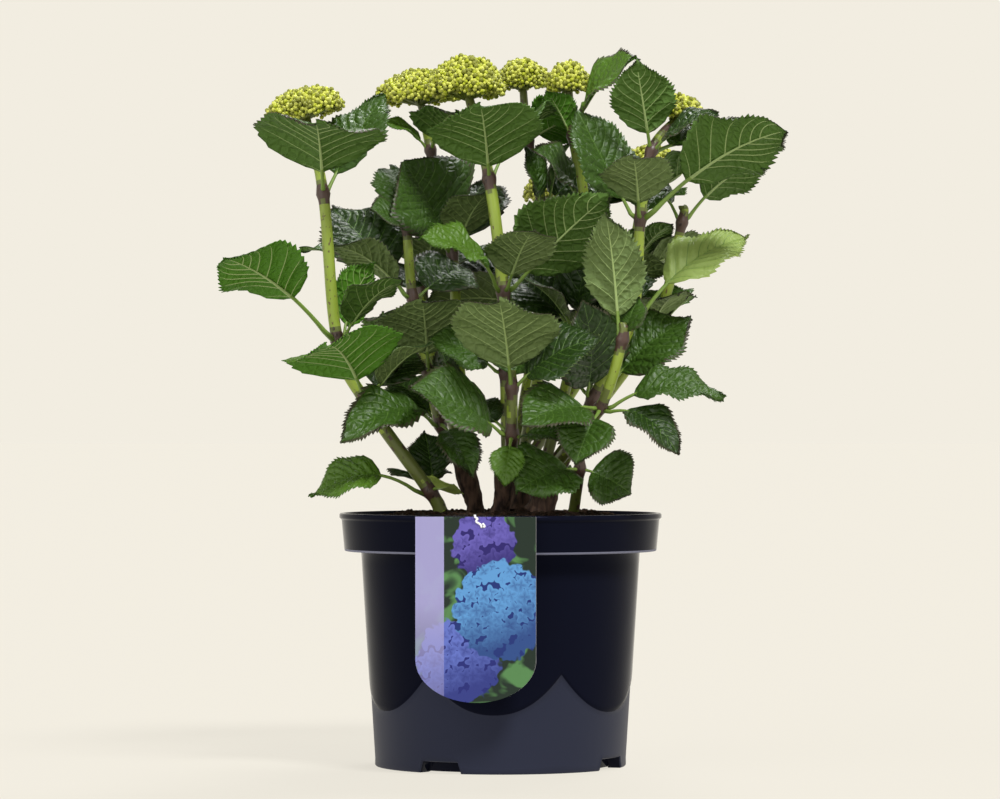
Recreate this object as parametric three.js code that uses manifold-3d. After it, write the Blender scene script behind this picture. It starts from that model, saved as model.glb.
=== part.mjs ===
// Hydrangea shrub in its nursery pot, before the flower heads have opened.
// Millimetres, +Z up. The origin is the middle of the pot's flat underside, and the front faces -Y.

import * as THREE from 'three';
import { mergeVertices } from 'three/addons/utils/BufferGeometryUtils.js';
import Module from 'manifold-3d';

const wasm = await Module();
wasm.setup();

// Driving dimensions
const CLEAR = 0.3; // gap between neighbours that touch in life
const SAFE = 0.05; // added to that gap where two curved surfaces pass each other

const POT = {
  height: 180,
  rimRadius: 115,
  lipHeight: 4,
  bandRadius: 113.5,
  bandFootRadius: 111.5,
  bandHeight: 27,
  neckRadius: 99.5,
  baseRadius: 90,
  wall: 1.8,
  floor: 2.2,
  sides: 40,
};

const NOTCH = { count: 4, firstAngle: -118.5, width: 31, height: 8, depth: 12 };

const SOIL = { edgeHeight: 173, moundHeight: 181, moundRadius: 72 };

const LABEL = {
  left: -59,
  right: 25,
  top: 179.5,
  archStart: 81,
  bottom: 51.5,
  thickness: 0.9,
};

const HOOK = { width: 6, thickness: 1.2, drop: 9, middle: -16 };

const LEAF = {
  stalk: 0.16, // part of the way from knot to tip that is bare stalk
  stalkWidth: 3.2,
  stalkThickness: 2.6,
  thickness: 1.3,
  fold: 0.3, // how far each half of the blade rises from the midrib
  arch: 0.1, // bow of the midrib, as a share of its length
  tipWidth: 1.6,
  widthToLength: 0.78,
  stations: [0, 0.28, 0.66, 1], // along the blade
};

// The swollen joint of the shoot that leaf stalks are rooted in
const COLLAR = { thickness: 3.2, rootDepth: 1.3, length: 7.5, slack: 0.45 };

const HEAD = { roughness: 0.1, underside: 0.35 };

const STEM_SIDES = 8;
const SHOOT_SIDES = 6;
const SHOOT_STEPS = 4; // from one joint to the next, so that a ring of points lies at each joint
const SHORT_STEPS = 6;
const BUD_HEIGHT = 12; // of a shoot with no flower head, above its top knot
const HEAD_STALK_TAPER = 0.8;

const MOST_LEAVES = [4, 3]; // at one joint, by turns up the shoot

const REACH = { middle: [2, 15], right: 198, back: 185, low: 196, high: 470 };

const SEED = 20;
const HEAD_SEED = 7;

// Spaces, as left, right, low and high, where the sky shows between or beside the shoots.
// Leaves placed by the growing rule stay out of them.
const SKY_WINDOWS = [
  [-115, -86, 401, 440],
  [-205, -130, 372, 412],
  [-205, -152, 190, 300],
  [-205, -118, 290, 318],
  [-205, -115, 215, 252],
  [-122, -57, 212, 232],
  [-107, -92, 339, 353],
  [-85, -71, 299, 315],
  [-76, -56, 260, 279],
  [-43, -20, 182, 204],
  [-43, -13, 409, 430],
  [1, 22, 392, 430],
  [57, 71, 427, 441],
  [71, 83, 374, 391],
  [93, 205, 182, 229],
  [135, 205, 288, 333],
  [137, 205, 380, 402],
];

// Leaf tips are given from the knot they grow at, to the right, to the back and up.
// show is how far the upper face turns to the front, and below zero the underside shows.
function leaf(right, back, up, looks = {}) {
  return { right, back, up, ...looks };
}

function knot(x, y, z, ...leaves) {
  return { place: [x, y, z], leaves };
}

// Woody stems: foot, fork, and the radius at each.
const STEMS = {
  stem_left: { foot: [-18, 8], fork: [-27, 8, 222], radius: [6.2, 8.8] },
  stem_centre: { foot: [-1, -12], fork: [6, -24, 222], radius: [6, 8] },
  stem_right: { foot: [27, 10], fork: [38, 6, 214], radius: [9.6, 10.4] },
  stem_back: { foot: [14, 44], fork: [16, 54, 218], radius: [8, 9.6] },
};

// Shoots: where each foot stands, how thick it is, its knots from the lowest to the top one,
// and its flower head by place, radius, height and how many degrees its right side tips up.
const SHOOTS = {
  left: {
    foot: [-42, -26, SOIL.moundHeight + CLEAR],
    radius: [5, 3.6],
    knots: [
      knot(-50, -28, 196,
        leaf(-84, -16, -4, { wide: 46, show: 0.7, arch: 0.24, stalk: 0.38 }),
        leaf(17, -22, 5, { wide: 30, show: -1, arch: -0.04 }),
        leaf(-4, 24, 42, { wide: 32, show: 1, arch: 0.06 })),
      knot(-95, -38, 259,
        leaf(-24, -88, 38, { wide: 84, show: -1, arch: 0.14, stalk: 0.2 }),
        leaf(34, 40, 36, { wide: 50, show: 0.5 })),
      knot(-115, -44, 303,
        leaf(-76, -74, 55, { wide: 66, show: -0.7, arch: 0.1, stalk: 0.36 }),
        leaf(26, 26, 56, { wide: 42, show: -1.4 })),
      knot(-125, -40, 406,
        leaf(-2, -74, 45, { wide: 92, show: -0.5, arch: 0.12, stalk: 0.18 }),
        leaf(42, 42, 73, { wide: 46, show: 0.8, arch: 0.04 })),
    ],
    head: { place: [-139, -15, 465], radius: 30, height: 19, tipUp: 13 },
  },
  centre_left: {
    foot: [-23, 4, 222 + CLEAR],
    radius: [4.2, 3.3],
    knots: [
      knot(-31, 36, 300),
      knot(-35, 50, 368,
        leaf(-35, -24, 65, { wide: 100, show: 1.3, arch: 0.06, stalk: 0.24 }),
        leaf(22, 54, 54, { wide: 60, show: 0.6, arch: 0.06 })),
      knot(-51, 60, 443,
        leaf(-42, -10, 20, { wide: 24, show: 0.5, arch: 0.15 }),
        leaf(18, 35, 26, { wide: 30 })),
    ],
    bare: [0],
    head: { place: [-59, 62, 482], radius: 33, height: 21, tipUp: 4 },
  },
  inner: {
    foot: [-32, 6, 222 + CLEAR],
    radius: [4, 3.2],
    knots: [
      knot(-43, -5, 243,
        leaf(-68, -81, -12, { wide: 46, show: 0.8, arch: 0.2 }),
        leaf(-34, 44, 32, { wide: 50, show: 0.8 }),
        leaf(24, -45, -37, { wide: 30, show: 1 })),
      knot(-52, 0, 281,
        leaf(-3, -56, 50, { wide: 70, show: -1 }),
        leaf(-46, 22, 6, { wide: 40, show: 1 })),
      knot(-63, 8, 334,
        leaf(-60, 56, 67, { wide: 64, show: 1, arch: 0.06, stalk: 0.24 }),
        leaf(40, 36, 22, { wide: 56, show: 0.8 }),
        leaf(-58, -34, 36, { wide: 36, show: -0.5, arch: 0.14 })),
      knot(-67, 12, 384,
        leaf(-26, -20, 12, { wide: 40, show: 0.9 }),
        leaf(-14, 66, 47, { wide: 36, show: 0.9, arch: 0.1 })),
    ],
  },
  centre: {
    foot: [5.2, -19.6, 222 + CLEAR],
    radius: [4.8, 3.9],
    knots: [
      knot(4, -30, 280,
        leaf(-54, -14, 24, { wide: 50, show: 0.9 }),
        leaf(42, 4, 30, { wide: 46, show: 0.8 })),
      knot(2, -36, 337,
        leaf(-58, -56, 36, { wide: 40, show: 0.8, arch: 0.16, stalk: 0.26 }),
        leaf(74, -26, 67, { wide: 74, show: -1.4, arch: 0.05 })),
      knot(-8, -28, 417,
        leaf(-6, -62, 48, { wide: 80, show: -0.6, stalk: 0.1 }),
        leaf(48, 50, 50, { wide: 68, show: -0.4 })),
    ],
    head: { place: [-24, -5, 482], radius: 29, height: 26, tipUp: 0 },
  },
  front: {
    foot: [7.2, -28.6, 222 + CLEAR],
    radius: [4.6, 3.6],
    knots: [
      knot(8, -55, 236,
        leaf(-72, -42, 32, { wide: 72, show: 1, arch: 0.08 }),
        leaf(36, -26, -4, { wide: 40, show: 0.6 }),
        leaf(-5, -25, -36, { wide: 24, show: 1.2 })),
      knot(8, -64, 269,
        leaf(-9, -58, 60, { wide: 76, show: -0.8, arch: 0.1 }),
        leaf(10, 30, 40, { wide: 54, show: 0.8 })),
    ],
  },
  centre_right: {
    foot: [31.7, 4.9, 214 + CLEAR],
    radius: [4.2, 3.3],
    knots: [
      knot(56, 20, 311,
        leaf(16, -26, 70, { wide: 62, show: 1.2 }),
        leaf(-52, 18, 40, { wide: 54, show: 0.8 })),
      knot(61, 22, 394,
        leaf(-37, -46, 45, { wide: 48, show: 1, stalk: 0.24 }),
        leaf(36, 34, 30, { wide: 50, show: 0.6 })),
      knot(52, 25, 451,
        leaf(-19, -9, 32, { wide: 28, show: -1, arch: 0.06 }),
        leaf(45, -54, 52, { wide: 58, show: 1, stalk: 0.26 })),
    ],
    head: { place: [49, 26, 487], radius: 18, height: 19, tipUp: 3 },
  },
  right: {
    foot: [44.3, 7.1, 214 + CLEAR],
    radius: [4.4, 3.4],
    knots: [
      knot(66, -14, 262,
        leaf(-8, -42, 68, { wide: 62, show: 1.3, stalk: 0.12 }),
        leaf(70, 8, 58, { wide: 64, show: 1.1, stalk: 0.26 })),
      knot(93, -28, 318,
        leaf(84, 36, 59, { wide: 44, show: 0.8, arch: 0.14, stalk: 0.28 }),
        leaf(-48, 56, 36, { wide: 48, show: 0.8 })),
      knot(99, -30, 389,
        leaf(-46, 2, 79, { wide: 62, show: 1, arch: 0 }),
        leaf(100, -64, 58, { wide: 64, show: -1, arch: 0.12, stalk: 0.28 })),
      knot(107, -25, 437,
        leaf(-12, -31, 62, { wide: 46, show: -1.6, arch: 0.02 }),
        leaf(74, 84, 26, { wide: 46, show: 0.6, arch: 0.02 })),
    ],
    head: { place: [128, 0, 464], radius: 20, height: 16, tipUp: -16 },
  },
  outer: {
    foot: [36.9, 12.3, 214 + CLEAR],
    radius: [4.2, 3.2],
    knots: [
      knot(109, 36, 311, leaf(14, 64, 33, { wide: 50, arch: 0.05 })),
      knot(131, 34, 389, leaf(62, -20, 46, { wide: 44, show: -1.2, arch: 0.16, stalk: 0.26 })),
    ],
  },
  right_front: {
    foot: [39.1, -0.3, 214 + CLEAR],
    radius: [4.2, 3.4],
    knots: [
      knot(70, -62, 255,
        leaf(86, -17, 6, { wide: 46, show: 0.7, arch: 0.18, stalk: 0.24 }),
        leaf(-56, -46, -12, { wide: 58, show: 0.9 }),
        leaf(-18, -33, -40, { wide: 42, show: 1.1 }),
        leaf(53, -40, -33, { wide: 34, show: 0.5, arch: 0.2, stalk: 0.24 })),
      knot(85, -78, 302,
        leaf(-12, -18, 88, { wide: 44, show: -1.7, arch: 0.08 }),
        leaf(12, 2, 30, { wide: 40, show: 0.6, arch: 0.06 })),
    ],
  },
  low_right: {
    foot: [52, -16, SOIL.moundHeight + CLEAR],
    radius: [4, 3.2],
    knots: [
      knot(56, -40, 212,
        leaf(-45, -43, -16, { wide: 56, show: 0.9 }),
        leaf(36, -6, -18, { wide: 52, show: 1.2 }),
        leaf(-10, 14, -16, { wide: 22, show: 0.9, arch: 0.2 })),
    ],
    short: true,
  },
  back: {
    foot: [16, 48.4, 218 + CLEAR],
    radius: [4.2, 3.3],
    knots: [
      knot(34, 52, 326),
      knot(30, 48, 400,
        leaf(-14, -18, 46, { wide: 30, show: 1.2 }),
        leaf(40, 28, 34, { wide: 40, show: 0.8 })),
      knot(20, 46, 449, leaf(34, -14, 14, { wide: 50, show: -1 })),
    ],
    head: { place: [16, 52, 491], radius: 20, height: 20, tipUp: 2 },
  },
  back_left: {
    foot: [-27, 13.4, 222 + CLEAR],
    radius: [4.2, 3.3],
    knots: [
      knot(-48, 84, 285),
      knot(-58, 112, 345),
      knot(-60, 122, 388),
    ],
    head: { place: [-60, 126, 410], radius: 26, height: 17, tipUp: -4 },
  },
  back_middle: {
    foot: [11.2, 57.4, 218 + CLEAR],
    radius: [4.2, 3.3],
    knots: [
      knot(22, 112, 285),
      knot(36, 142, 340),
      knot(42, 152, 392),
    ],
    head: { place: [43, 154, 416], radius: 27, height: 18, tipUp: 3 },
  },
  back_right: {
    foot: [20.8, 57.4, 218 + CLEAR],
    radius: [4.2, 3.3],
    knots: [
      knot(72, 92, 300),
      knot(94, 108, 356),
      knot(104, 114, 406),
    ],
    head: { place: [108, 116, 432], radius: 28, height: 19, tipUp: 6 },
  },
};

// How far a leaf may turn about its shoot, rise and roll when its first place is taken.
const TURN_STEP = 11;
const RISE_STEP = 8;
const ROLL_STEP = 0.45;
const SIZES = [1, 0.86, 0.74];

const COLOURS = {
  pot: 0x14151d,
  soil: 0x2b211b,
  label: 0x5a74c4,
  hook: 0xe9e9ec,
  stem: 0x3b2a24,
  shoot: 0x8aa23c,
  leaves: 0x3f6a2c,
  crown: 0x55782f,
};

// Small helpers
const UP = new THREE.Vector3(0, 0, 1);
const FRONT = new THREE.Vector3(0, -1, 0);

function seeded(seed) {
  let state = seed;
  return () => {
    state = (state * 1664525 + 1013904223) % 4294967296;
    return state / 4294967296;
  };
}

function solidOf(geometry) {
  const bare = geometry.clone();
  bare.deleteAttribute('normal');
  bare.deleteAttribute('uv');
  const merged = mergeVertices(bare, 1e-4);
  return new wasm.Manifold(new wasm.Mesh({
    numProp: 3,
    vertProperties: new Float32Array(merged.attributes.position.array),
    triVerts: new Uint32Array(merged.index.array),
  }));
}

function geometryOf(solid) {
  const mesh = solid.getMesh();
  const geometry = new THREE.BufferGeometry();
  geometry.setAttribute('position', new THREE.BufferAttribute(mesh.vertProperties, 3));
  geometry.setIndex(new THREE.BufferAttribute(mesh.triVerts, 1));
  return geometry;
}

function largestPiece(solid) {
  const pieces = solid.decompose();
  return pieces.reduce((best, piece) => (piece.volume() > best.volume() ? piece : best));
}

function curveThrough(places) {
  return new THREE.CatmullRomCurve3(
    places.map((place) => new THREE.Vector3(...place)), false, 'catmullrom', 0.5);
}

// Bends an upright geometry, one unit tall, along part of a curve.
// A flat start is cut level, as a stem that stands on the soil or on a fork.
function bent(geometry, curve, { from = 0, to = 1, flat = false }) {
  const position = geometry.attributes.position;
  const point = new THREE.Vector3();
  for (let i = 0; i < position.count; i += 1) {
    const share = position.getY(i) + 0.5;
    const along = from + (to - from) * share;
    const tangent = flat && share < 1e-6 ? UP : curve.getTangent(along);
    const across = FRONT.clone().negate().cross(tangent).normalize();
    const other = tangent.clone().cross(across);
    point.copy(curve.getPoint(along));
    point.addScaledVector(across, position.getX(i));
    point.addScaledVector(other, -position.getZ(i));
    position.setXYZ(i, point.x, point.y, point.z);
  }
  return solidOf(geometry);
}

// A limb tapers from one radius to the other.
function limb(curve, { radius, sides, steps, ...part }) {
  return bent(new THREE.CylinderGeometry(radius[1], radius[0], 1, sides, steps), curve, part);
}

// A collar goes round a limb without touching it.
function collar(curve, limbRadius, part) {
  const inner = limbRadius + CLEAR + COLLAR.slack;
  const outer = limbRadius + COLLAR.thickness;
  const profile = [[inner, -0.5], [outer, -0.5], [outer, 0.5], [inner, 0.5], [inner, -0.5]];
  const points = profile.map(([radius, height]) => new THREE.Vector2(radius, height));
  return bent(new THREE.LatheGeometry(points, SHOOT_SIDES), curve, part);
}

// A woody stem is cut level at the soil and at its fork, where the shoots stand.
function woodyStem(foot, fork, radius) {
  const geometry = new THREE.CylinderGeometry(radius[1], radius[0], 1, STEM_SIDES, 1);
  geometry.rotateX(Math.PI / 2);
  const position = geometry.attributes.position;
  for (let i = 0; i < position.count; i += 1) {
    const end = position.getZ(i) > 0 ? fork : foot;
    position.setXYZ(i, position.getX(i) + end[0], position.getY(i) + end[1], end[2]);
  }
  return solidOf(geometry);
}

// Pot, soil and label
function potGeometry() {
  const bandFoot = POT.height - POT.bandHeight;
  const lipFoot = POT.height - POT.lipHeight;
  const profile = [
    [0, 0],
    [POT.baseRadius, 0],
    [POT.neckRadius, bandFoot],
    [POT.bandFootRadius, bandFoot],
    [POT.bandRadius, lipFoot],
    [POT.rimRadius, lipFoot],
    [POT.rimRadius, POT.height],
    [POT.bandRadius - POT.wall, POT.height],
    [POT.bandFootRadius - POT.wall, bandFoot + POT.wall],
    [POT.neckRadius - POT.wall, bandFoot + POT.wall],
    [POT.baseRadius - POT.wall, POT.floor],
    [0, POT.floor],
  ];
  return lathed(profile, POT.sides);
}

function lathed(profile, sides) {
  const points = profile.map(([radius, height]) => new THREE.Vector2(radius, height));
  const geometry = new THREE.LatheGeometry(points, sides);
  geometry.rotateX(Math.PI / 2);
  return geometry;
}

function pot() {
  let solid = solidOf(potGeometry());
  for (let i = 0; i < NOTCH.count; i += 1) {
    const cut = new THREE.BoxGeometry(NOTCH.depth, NOTCH.width, NOTCH.height * 2);
    cut.translate(POT.baseRadius, 0, 0);
    cut.rotateZ(THREE.MathUtils.degToRad(NOTCH.firstAngle + (360 / NOTCH.count) * i));
    solid = solid.subtract(solidOf(cut));
  }
  return solid;
}

function soil() {
  const bandFoot = POT.height - POT.bandHeight + POT.wall;
  const inset = POT.wall + CLEAR;
  const profile = [
    [0, POT.floor + CLEAR],
    [POT.baseRadius - NOTCH.depth, POT.floor + CLEAR],
    [POT.baseRadius - inset + 0.8, POT.floor + 12],
    [POT.neckRadius - inset - 0.3, bandFoot + CLEAR],
    [POT.bandFootRadius - inset - 0.1, bandFoot + CLEAR],
    [POT.bandFootRadius - inset + 1.4, SOIL.edgeHeight],
    [SOIL.moundRadius, SOIL.moundHeight],
    [0, SOIL.moundHeight],
  ];
  return solidOf(lathed(profile, POT.sides));
}

// The label is turned to lie flat against the rim at its own middle.
function placeOnRim(geometry, middle) {
  const turn = Math.asin(middle / POT.rimRadius);
  geometry.rotateZ(turn);
  return geometry;
}

function label() {
  const middle = (LABEL.left + LABEL.right) / 2;
  const half = (LABEL.right - LABEL.left) / 2;
  const outline = new THREE.Shape();
  outline.moveTo(-half, LABEL.top);
  outline.lineTo(-half, LABEL.archStart);
  const archHeight = LABEL.archStart - LABEL.bottom;
  outline.absellipse(0, LABEL.archStart, half, archHeight, Math.PI, Math.PI * 2, false, 0);
  outline.lineTo(half, LABEL.top);
  outline.closePath();
  const geometry = new THREE.ExtrudeGeometry(outline, {
    depth: LABEL.thickness,
    bevelEnabled: false,
    curveSegments: 16,
  });
  geometry.rotateX(Math.PI / 2);
  geometry.translate(0, -POT.rimRadius - CLEAR, 0);
  return solidOf(placeOnRim(geometry, middle));
}

// A strip over the rim: down behind it on the inside, and down in front of the label.
function labelHook() {
  const inner = POT.bandRadius - POT.wall - CLEAR - 1;
  const outer = POT.rimRadius + 2 * CLEAR + LABEL.thickness;
  const top = POT.height + CLEAR;
  const t = HOOK.thickness;
  const outline = new THREE.Shape([
    [outer, top - HOOK.drop],
    [outer + t, top - HOOK.drop],
    [outer + t, top + t],
    [inner - t, top + t],
    [inner - t, top - 3],
    [inner, top - 3],
    [inner, top],
    [outer, top],
  ].map(([radius, height]) => new THREE.Vector2(-radius, height)));
  const geometry = new THREE.ExtrudeGeometry(outline, { depth: HOOK.width, bevelEnabled: false });
  geometry.translate(0, 0, -HOOK.width / 2);
  geometry.rotateX(Math.PI / 2);
  geometry.rotateZ(Math.PI / 2);
  return solidOf(placeOnRim(geometry, HOOK.middle));
}

// Leaves
function leafFrame(root, tip, looks) {
  const span = tip.clone().sub(root);
  const length = span.length();
  const along = span.clone().normalize();
  const upper = UP.clone().addScaledVector(along, -along.z).normalize();
  const front = FRONT.clone().addScaledVector(along, along.y);
  upper.addScaledVector(front, looks.show ?? 0).normalize();
  const side = along.clone().cross(upper).normalize();
  const bow = 2 * (looks.arch ?? LEAF.arch) * length;
  const middle = root.clone().add(tip).multiplyScalar(0.5).addScaledVector(upper, bow);
  const curve = new THREE.QuadraticBezierCurve3(root, middle, tip);
  const wide = looks.wide ?? LEAF.widthToLength * length;
  return { curve, side, wide, stalk: looks.stalk ?? LEAF.stalk };
}

function halfWidth(share) {
  return Math.sin(Math.PI * share ** 0.84) ** 0.8;
}

// A leaf is a flat box drawn out to its stalk and the outline of its blade, and bent along its midrib.
function leafSolid(frame) {
  const steps = LEAF.stations.length;
  const geometry = new THREE.BoxGeometry(2, 1, 1, 2, steps, 1);
  const position = geometry.attributes.position;
  const point = new THREE.Vector3();
  for (let i = 0; i < position.count; i += 1) {
    const station = Math.round((position.getY(i) + 0.5) * steps);
    const share = LEAF.stations[Math.max(station - 1, 0)];
    const along = station === 0 ? 0 : frame.stalk + (1 - frame.stalk) * share;
    const upper = frame.side.clone().cross(frame.curve.getTangent(along));
    const isStalk = station < 2;
    const least = isStalk ? LEAF.stalkWidth : LEAF.tipWidth;
    const across = 0.5 * position.getX(i) * Math.max(frame.wide * halfWidth(share), least);
    const thickness = isStalk ? LEAF.stalkThickness : LEAF.thickness;
    const lift = Math.abs(across) * LEAF.fold + position.getZ(i) * thickness;
    point.copy(frame.curve.getPoint(along));
    point.addScaledVector(frame.side, across);
    point.addScaledVector(upper, lift);
    position.setXYZ(i, point.x, point.y, point.z);
  }
  return solidOf(geometry);
}

// Every turn, rise and roll that a leaf may take, the smallest change first.
function changes() {
  const list = [];
  for (let turn = -5; turn <= 5; turn += 1) {
    for (let rise = -2; rise <= 4; rise += 1) {
      for (let roll = -2; roll <= 2; roll += 1) {
        const cost = turn * turn + rise * rise + 1.5 * roll * roll;
        list.push({ turn: turn * TURN_STEP, rise: rise * RISE_STEP, roll: roll * ROLL_STEP, cost });
      }
    }
  }
  return list.sort((a, b) => a.cost - b.cost);
}
const CHANGES = changes();

function turned(spec, { turn, rise }, size) {
  const offset = new THREE.Vector3(spec.right, spec.back, spec.up).multiplyScalar(size);
  offset.applyAxisAngle(UP, THREE.MathUtils.degToRad(turn));
  const level = new THREE.Vector3(-offset.y, offset.x, 0).normalize();
  return offset.applyAxisAngle(level, -THREE.MathUtils.degToRad(rise));
}

// What is already in place, so that no leaf is set through it.
const placed = [];

function boxesMeet(a, b, margin) {
  return [0, 1, 2].every((i) => a.min[i] - margin < b.max[i] && b.min[i] - margin < a.max[i]);
}

function isFree(solid, mass) {
  const box = solid.boundingBox();
  const gap = CLEAR + SAFE;
  return placed.every((item) => {
    const isOwnStem = item.owner === mass.shoot || item.solid === mass.parts[0];
    if (isOwnStem || !boxesMeet(item.box, box, gap)) {
      return true;
    }
    if (item.owner === mass.name) {
      return item.solid.intersect(solid).isEmpty();
    }
    return item.solid.minGap(solid, 2 * gap) >= gap;
  });
}

function place(solid, owner) {
  placed.push({ solid, owner, box: solid.boundingBox() });
}

function inSky(frame) {
  const point = new THREE.Vector3();
  for (const share of [0.25, 0.4, 0.55, 0.7, 0.85, 1]) {
    for (const across of [-0.8, 0, 0.8]) {
      point.copy(frame.curve.getPoint(share));
      const onBlade = Math.max((share - frame.stalk) / (1 - frame.stalk), 0);
      point.addScaledVector(frame.side, across * 0.5 * frame.wide * halfWidth(onBlade));
      const isSeen = SKY_WINDOWS.some(([left, right, low, high]) => (
        point.x > left && point.x < right && point.z > low && point.z < high));
      if (isSeen) {
        return true;
      }
    }
  }
  return false;
}

function inReach(tip) {
  const right = (tip.x - REACH.middle[0]) / REACH.right;
  const back = (tip.y - REACH.middle[1]) / REACH.back;
  return right * right + back * back < 1 && tip.z > REACH.low && tip.z < REACH.high;
}

// Tries a leaf at each size, turn, rise and roll in order, and gives the first one that has room.
function settle(spec, mass, byRule) {
  for (const size of SIZES) {
    for (const change of CHANGES) {
      const offset = turned(spec, change, size);
      const outward = offset.clone().projectOnPlane(mass.tangent).normalize();
      const root = mass.middle.clone().addScaledVector(outward, mass.rootRadius);
      const tip = mass.middle.clone().add(offset);
      const looks = {
        ...spec,
        wide: spec.wide && spec.wide * size,
        show: (spec.show ?? 0) + change.roll,
      };
      const frame = leafFrame(root, tip, looks);
      if (byRule && (inSky(frame) || !inReach(tip))) {
        continue;
      }
      const solid = leafSolid(frame);
      if (isFree(solid, mass) && clearOfStem(solid, mass)) {
        return solid;
      }
    }
  }
  return null;
}

// A leaf may touch its own shoot only at its root.
function clearOfStem(solid, mass) {
  if (mass.isTop) {
    return true;
  }
  return solid.intersect(mass.clearance).isEmpty();
}

// The growing rule for leaves that are not listed: each knot has a pair of leaves across from
// each other, the next pair stands a quarter turn further round, and smaller leaves of the
// side buds stand between.
function ruleLeaf(angle, rise, length) {
  const lift = THREE.MathUtils.degToRad(rise);
  return leaf(
    length * Math.cos(lift) * Math.cos(angle),
    length * Math.cos(lift) * Math.sin(angle),
    length * Math.sin(lift));
}

function ruleLeaves(mass, facing, random) {
  const listed = mass.item.leaves.length;
  const most = mass.isTop ? 3 : MOST_LEAVES[mass.index % 2];
  const pair = mass.isTop ? { rise: 38, length: 76 } : { rise: 20, length: 92 };
  const spread = () => random() - 0.5;
  const leaves = [];
  for (let side = listed; side < most; side += 1) {
    const inPair = side < 2;
    const { rise, length } = inPair ? pair : { rise: 34, length: 64 };
    const turn = facing + Math.PI * (inPair ? side : side + 0.5);
    leaves.push(ruleLeaf(turn + spread() * 0.6, rise + spread() * 26, length + spread() * 18));
  }
  return leaves;
}

function headSolid({ place: middle, radius, height, tipUp }, random) {
  const geometry = new THREE.IcosahedronGeometry(1, 1);
  const position = geometry.attributes.position;
  const bumps = new Map();
  for (let i = 0; i < position.count; i += 1) {
    const key = [position.getX(i), position.getY(i), position.getZ(i)].map((v) => v.toFixed(4)).join();
    if (!bumps.has(key)) {
      bumps.set(key, 1 + (random() - 0.5) * HEAD.roughness);
    }
    const bump = bumps.get(key);
    const isUpper = position.getZ(i) > 0;
    position.setXYZ(
      i,
      position.getX(i) * radius * bump,
      position.getY(i) * radius * bump,
      position.getZ(i) * height * bump * (isUpper ? 1 : HEAD.underside));
  }
  geometry.rotateY(THREE.MathUtils.degToRad(-tipUp));
  geometry.translate(...middle);
  return solidOf(geometry);
}

// Builds the plant
const group = new THREE.Group();

function addNode(name, solid, colour, roughness) {
  const material = new THREE.MeshStandardMaterial({ color: colour, roughness, metalness: 0 });
  const mesh = new THREE.Mesh(geometryOf(solid), material);
  mesh.name = name;
  group.add(mesh);
}

function addFixed(name, solid, colour, roughness) {
  place(solid, name);
  addNode(name, solid, colour, roughness);
}

addFixed('pot', pot(), COLOURS.pot, 0.25);
addFixed('soil', soil(), COLOURS.soil, 0.95);
addFixed('label', label(), COLOURS.label, 0.35);
addFixed('label_hook', labelHook(), COLOURS.hook, 0.4);

for (const [name, { foot, fork, radius }] of Object.entries(STEMS)) {
  addFixed(name, woodyStem([...foot, SOIL.moundHeight + CLEAR], fork, radius), COLOURS.stem, 0.85);
}

// Shoots first, so that every leaf keeps clear of all of them.
const masses = [];
for (const [name, shoot] of Object.entries(SHOOTS)) {
  const knots = shoot.knots;
  const top = knots[knots.length - 1];
  const bud = [top.place[0], top.place[1], top.place[2] + BUD_HEIGHT];
  const end = shoot.head ? shoot.head.place : bud;
  const curve = curveThrough([shoot.foot, ...knots.map((item) => item.place), end]);
  const spans = knots.length + 1;
  const tipShare = shoot.short ? 0 : (knots.length - 1 / SHOOT_STEPS) / spans;
  const gapShare = CLEAR / curve.getLength();
  const radiusAt = (share) => THREE.MathUtils.lerp(shoot.radius[0], shoot.radius[1], share);
  const bough = {
    to: tipShare,
    radius: [shoot.radius[0], radiusAt(tipShare)],
    sides: SHOOT_SIDES,
    steps: SHOOT_STEPS * knots.length - 1,
    flat: true,
  };
  let clearance = null;
  if (!shoot.short) {
    addFixed(`shoot_${name}`, limb(curve, bough), COLOURS.shoot, 0.55);
    const spaced = bough.radius.map((radius) => radius + CLEAR + 3 * SAFE);
    clearance = limb(curve, { ...bough, radius: spaced });
  }
  knots.forEach((item, index) => {
    if (shoot.bare?.includes(index)) {
      return;
    }
    const isTop = index === knots.length - 1;
    const share = (index + 1) / spans;
    const middle = new THREE.Vector3(...item.place);
    let stem;
    if (isTop) {
      stem = limb(curve, {
        from: shoot.short ? 0 : tipShare + gapShare,
        to: 1,
        radius: [radiusAt(tipShare), radiusAt(1) * HEAD_STALK_TAPER],
        sides: SHOOT_SIDES,
        steps: shoot.short ? SHORT_STEPS : SHOOT_STEPS,
        flat: shoot.short,
      });
    } else {
      const half = (0.5 * COLLAR.length) / curve.getLength();
      stem = collar(curve, radiusAt(share), { from: share - half, to: share + half });
    }
    const rootDepth = isTop ? -COLLAR.rootDepth : COLLAR.thickness - COLLAR.rootDepth;
    const mass = {
      name: isTop ? `crown_${name}` : `leaves_${name}_${index + 1}`,
      shoot: `shoot_${name}`,
      item,
      isTop,
      index,
      middle,
      tangent: curve.getTangent(share),
      clearance: isTop ? null : clearance,
      rootRadius: radiusAt(share) + rootDepth,
      head: isTop ? shoot.head : null,
      parts: [stem],
    };
    masses.push(mass);
    place(stem, mass.name);
  });
}

// Flower heads, then the listed leaves from the front to the back, then those that the rule adds.
const headRandom = seeded(HEAD_SEED);
for (const mass of masses) {
  if (mass.head) {
    const solid = headSolid(mass.head, headRandom);
    mass.parts.push(solid);
    place(solid, `${mass.name}_head`);
  }
}

function addLeaf(mass, spec, byRule) {
  const solid = settle(spec, mass, byRule);
  if (solid) {
    mass.parts.push(solid);
    place(solid, mass.name);
  }
}

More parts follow.
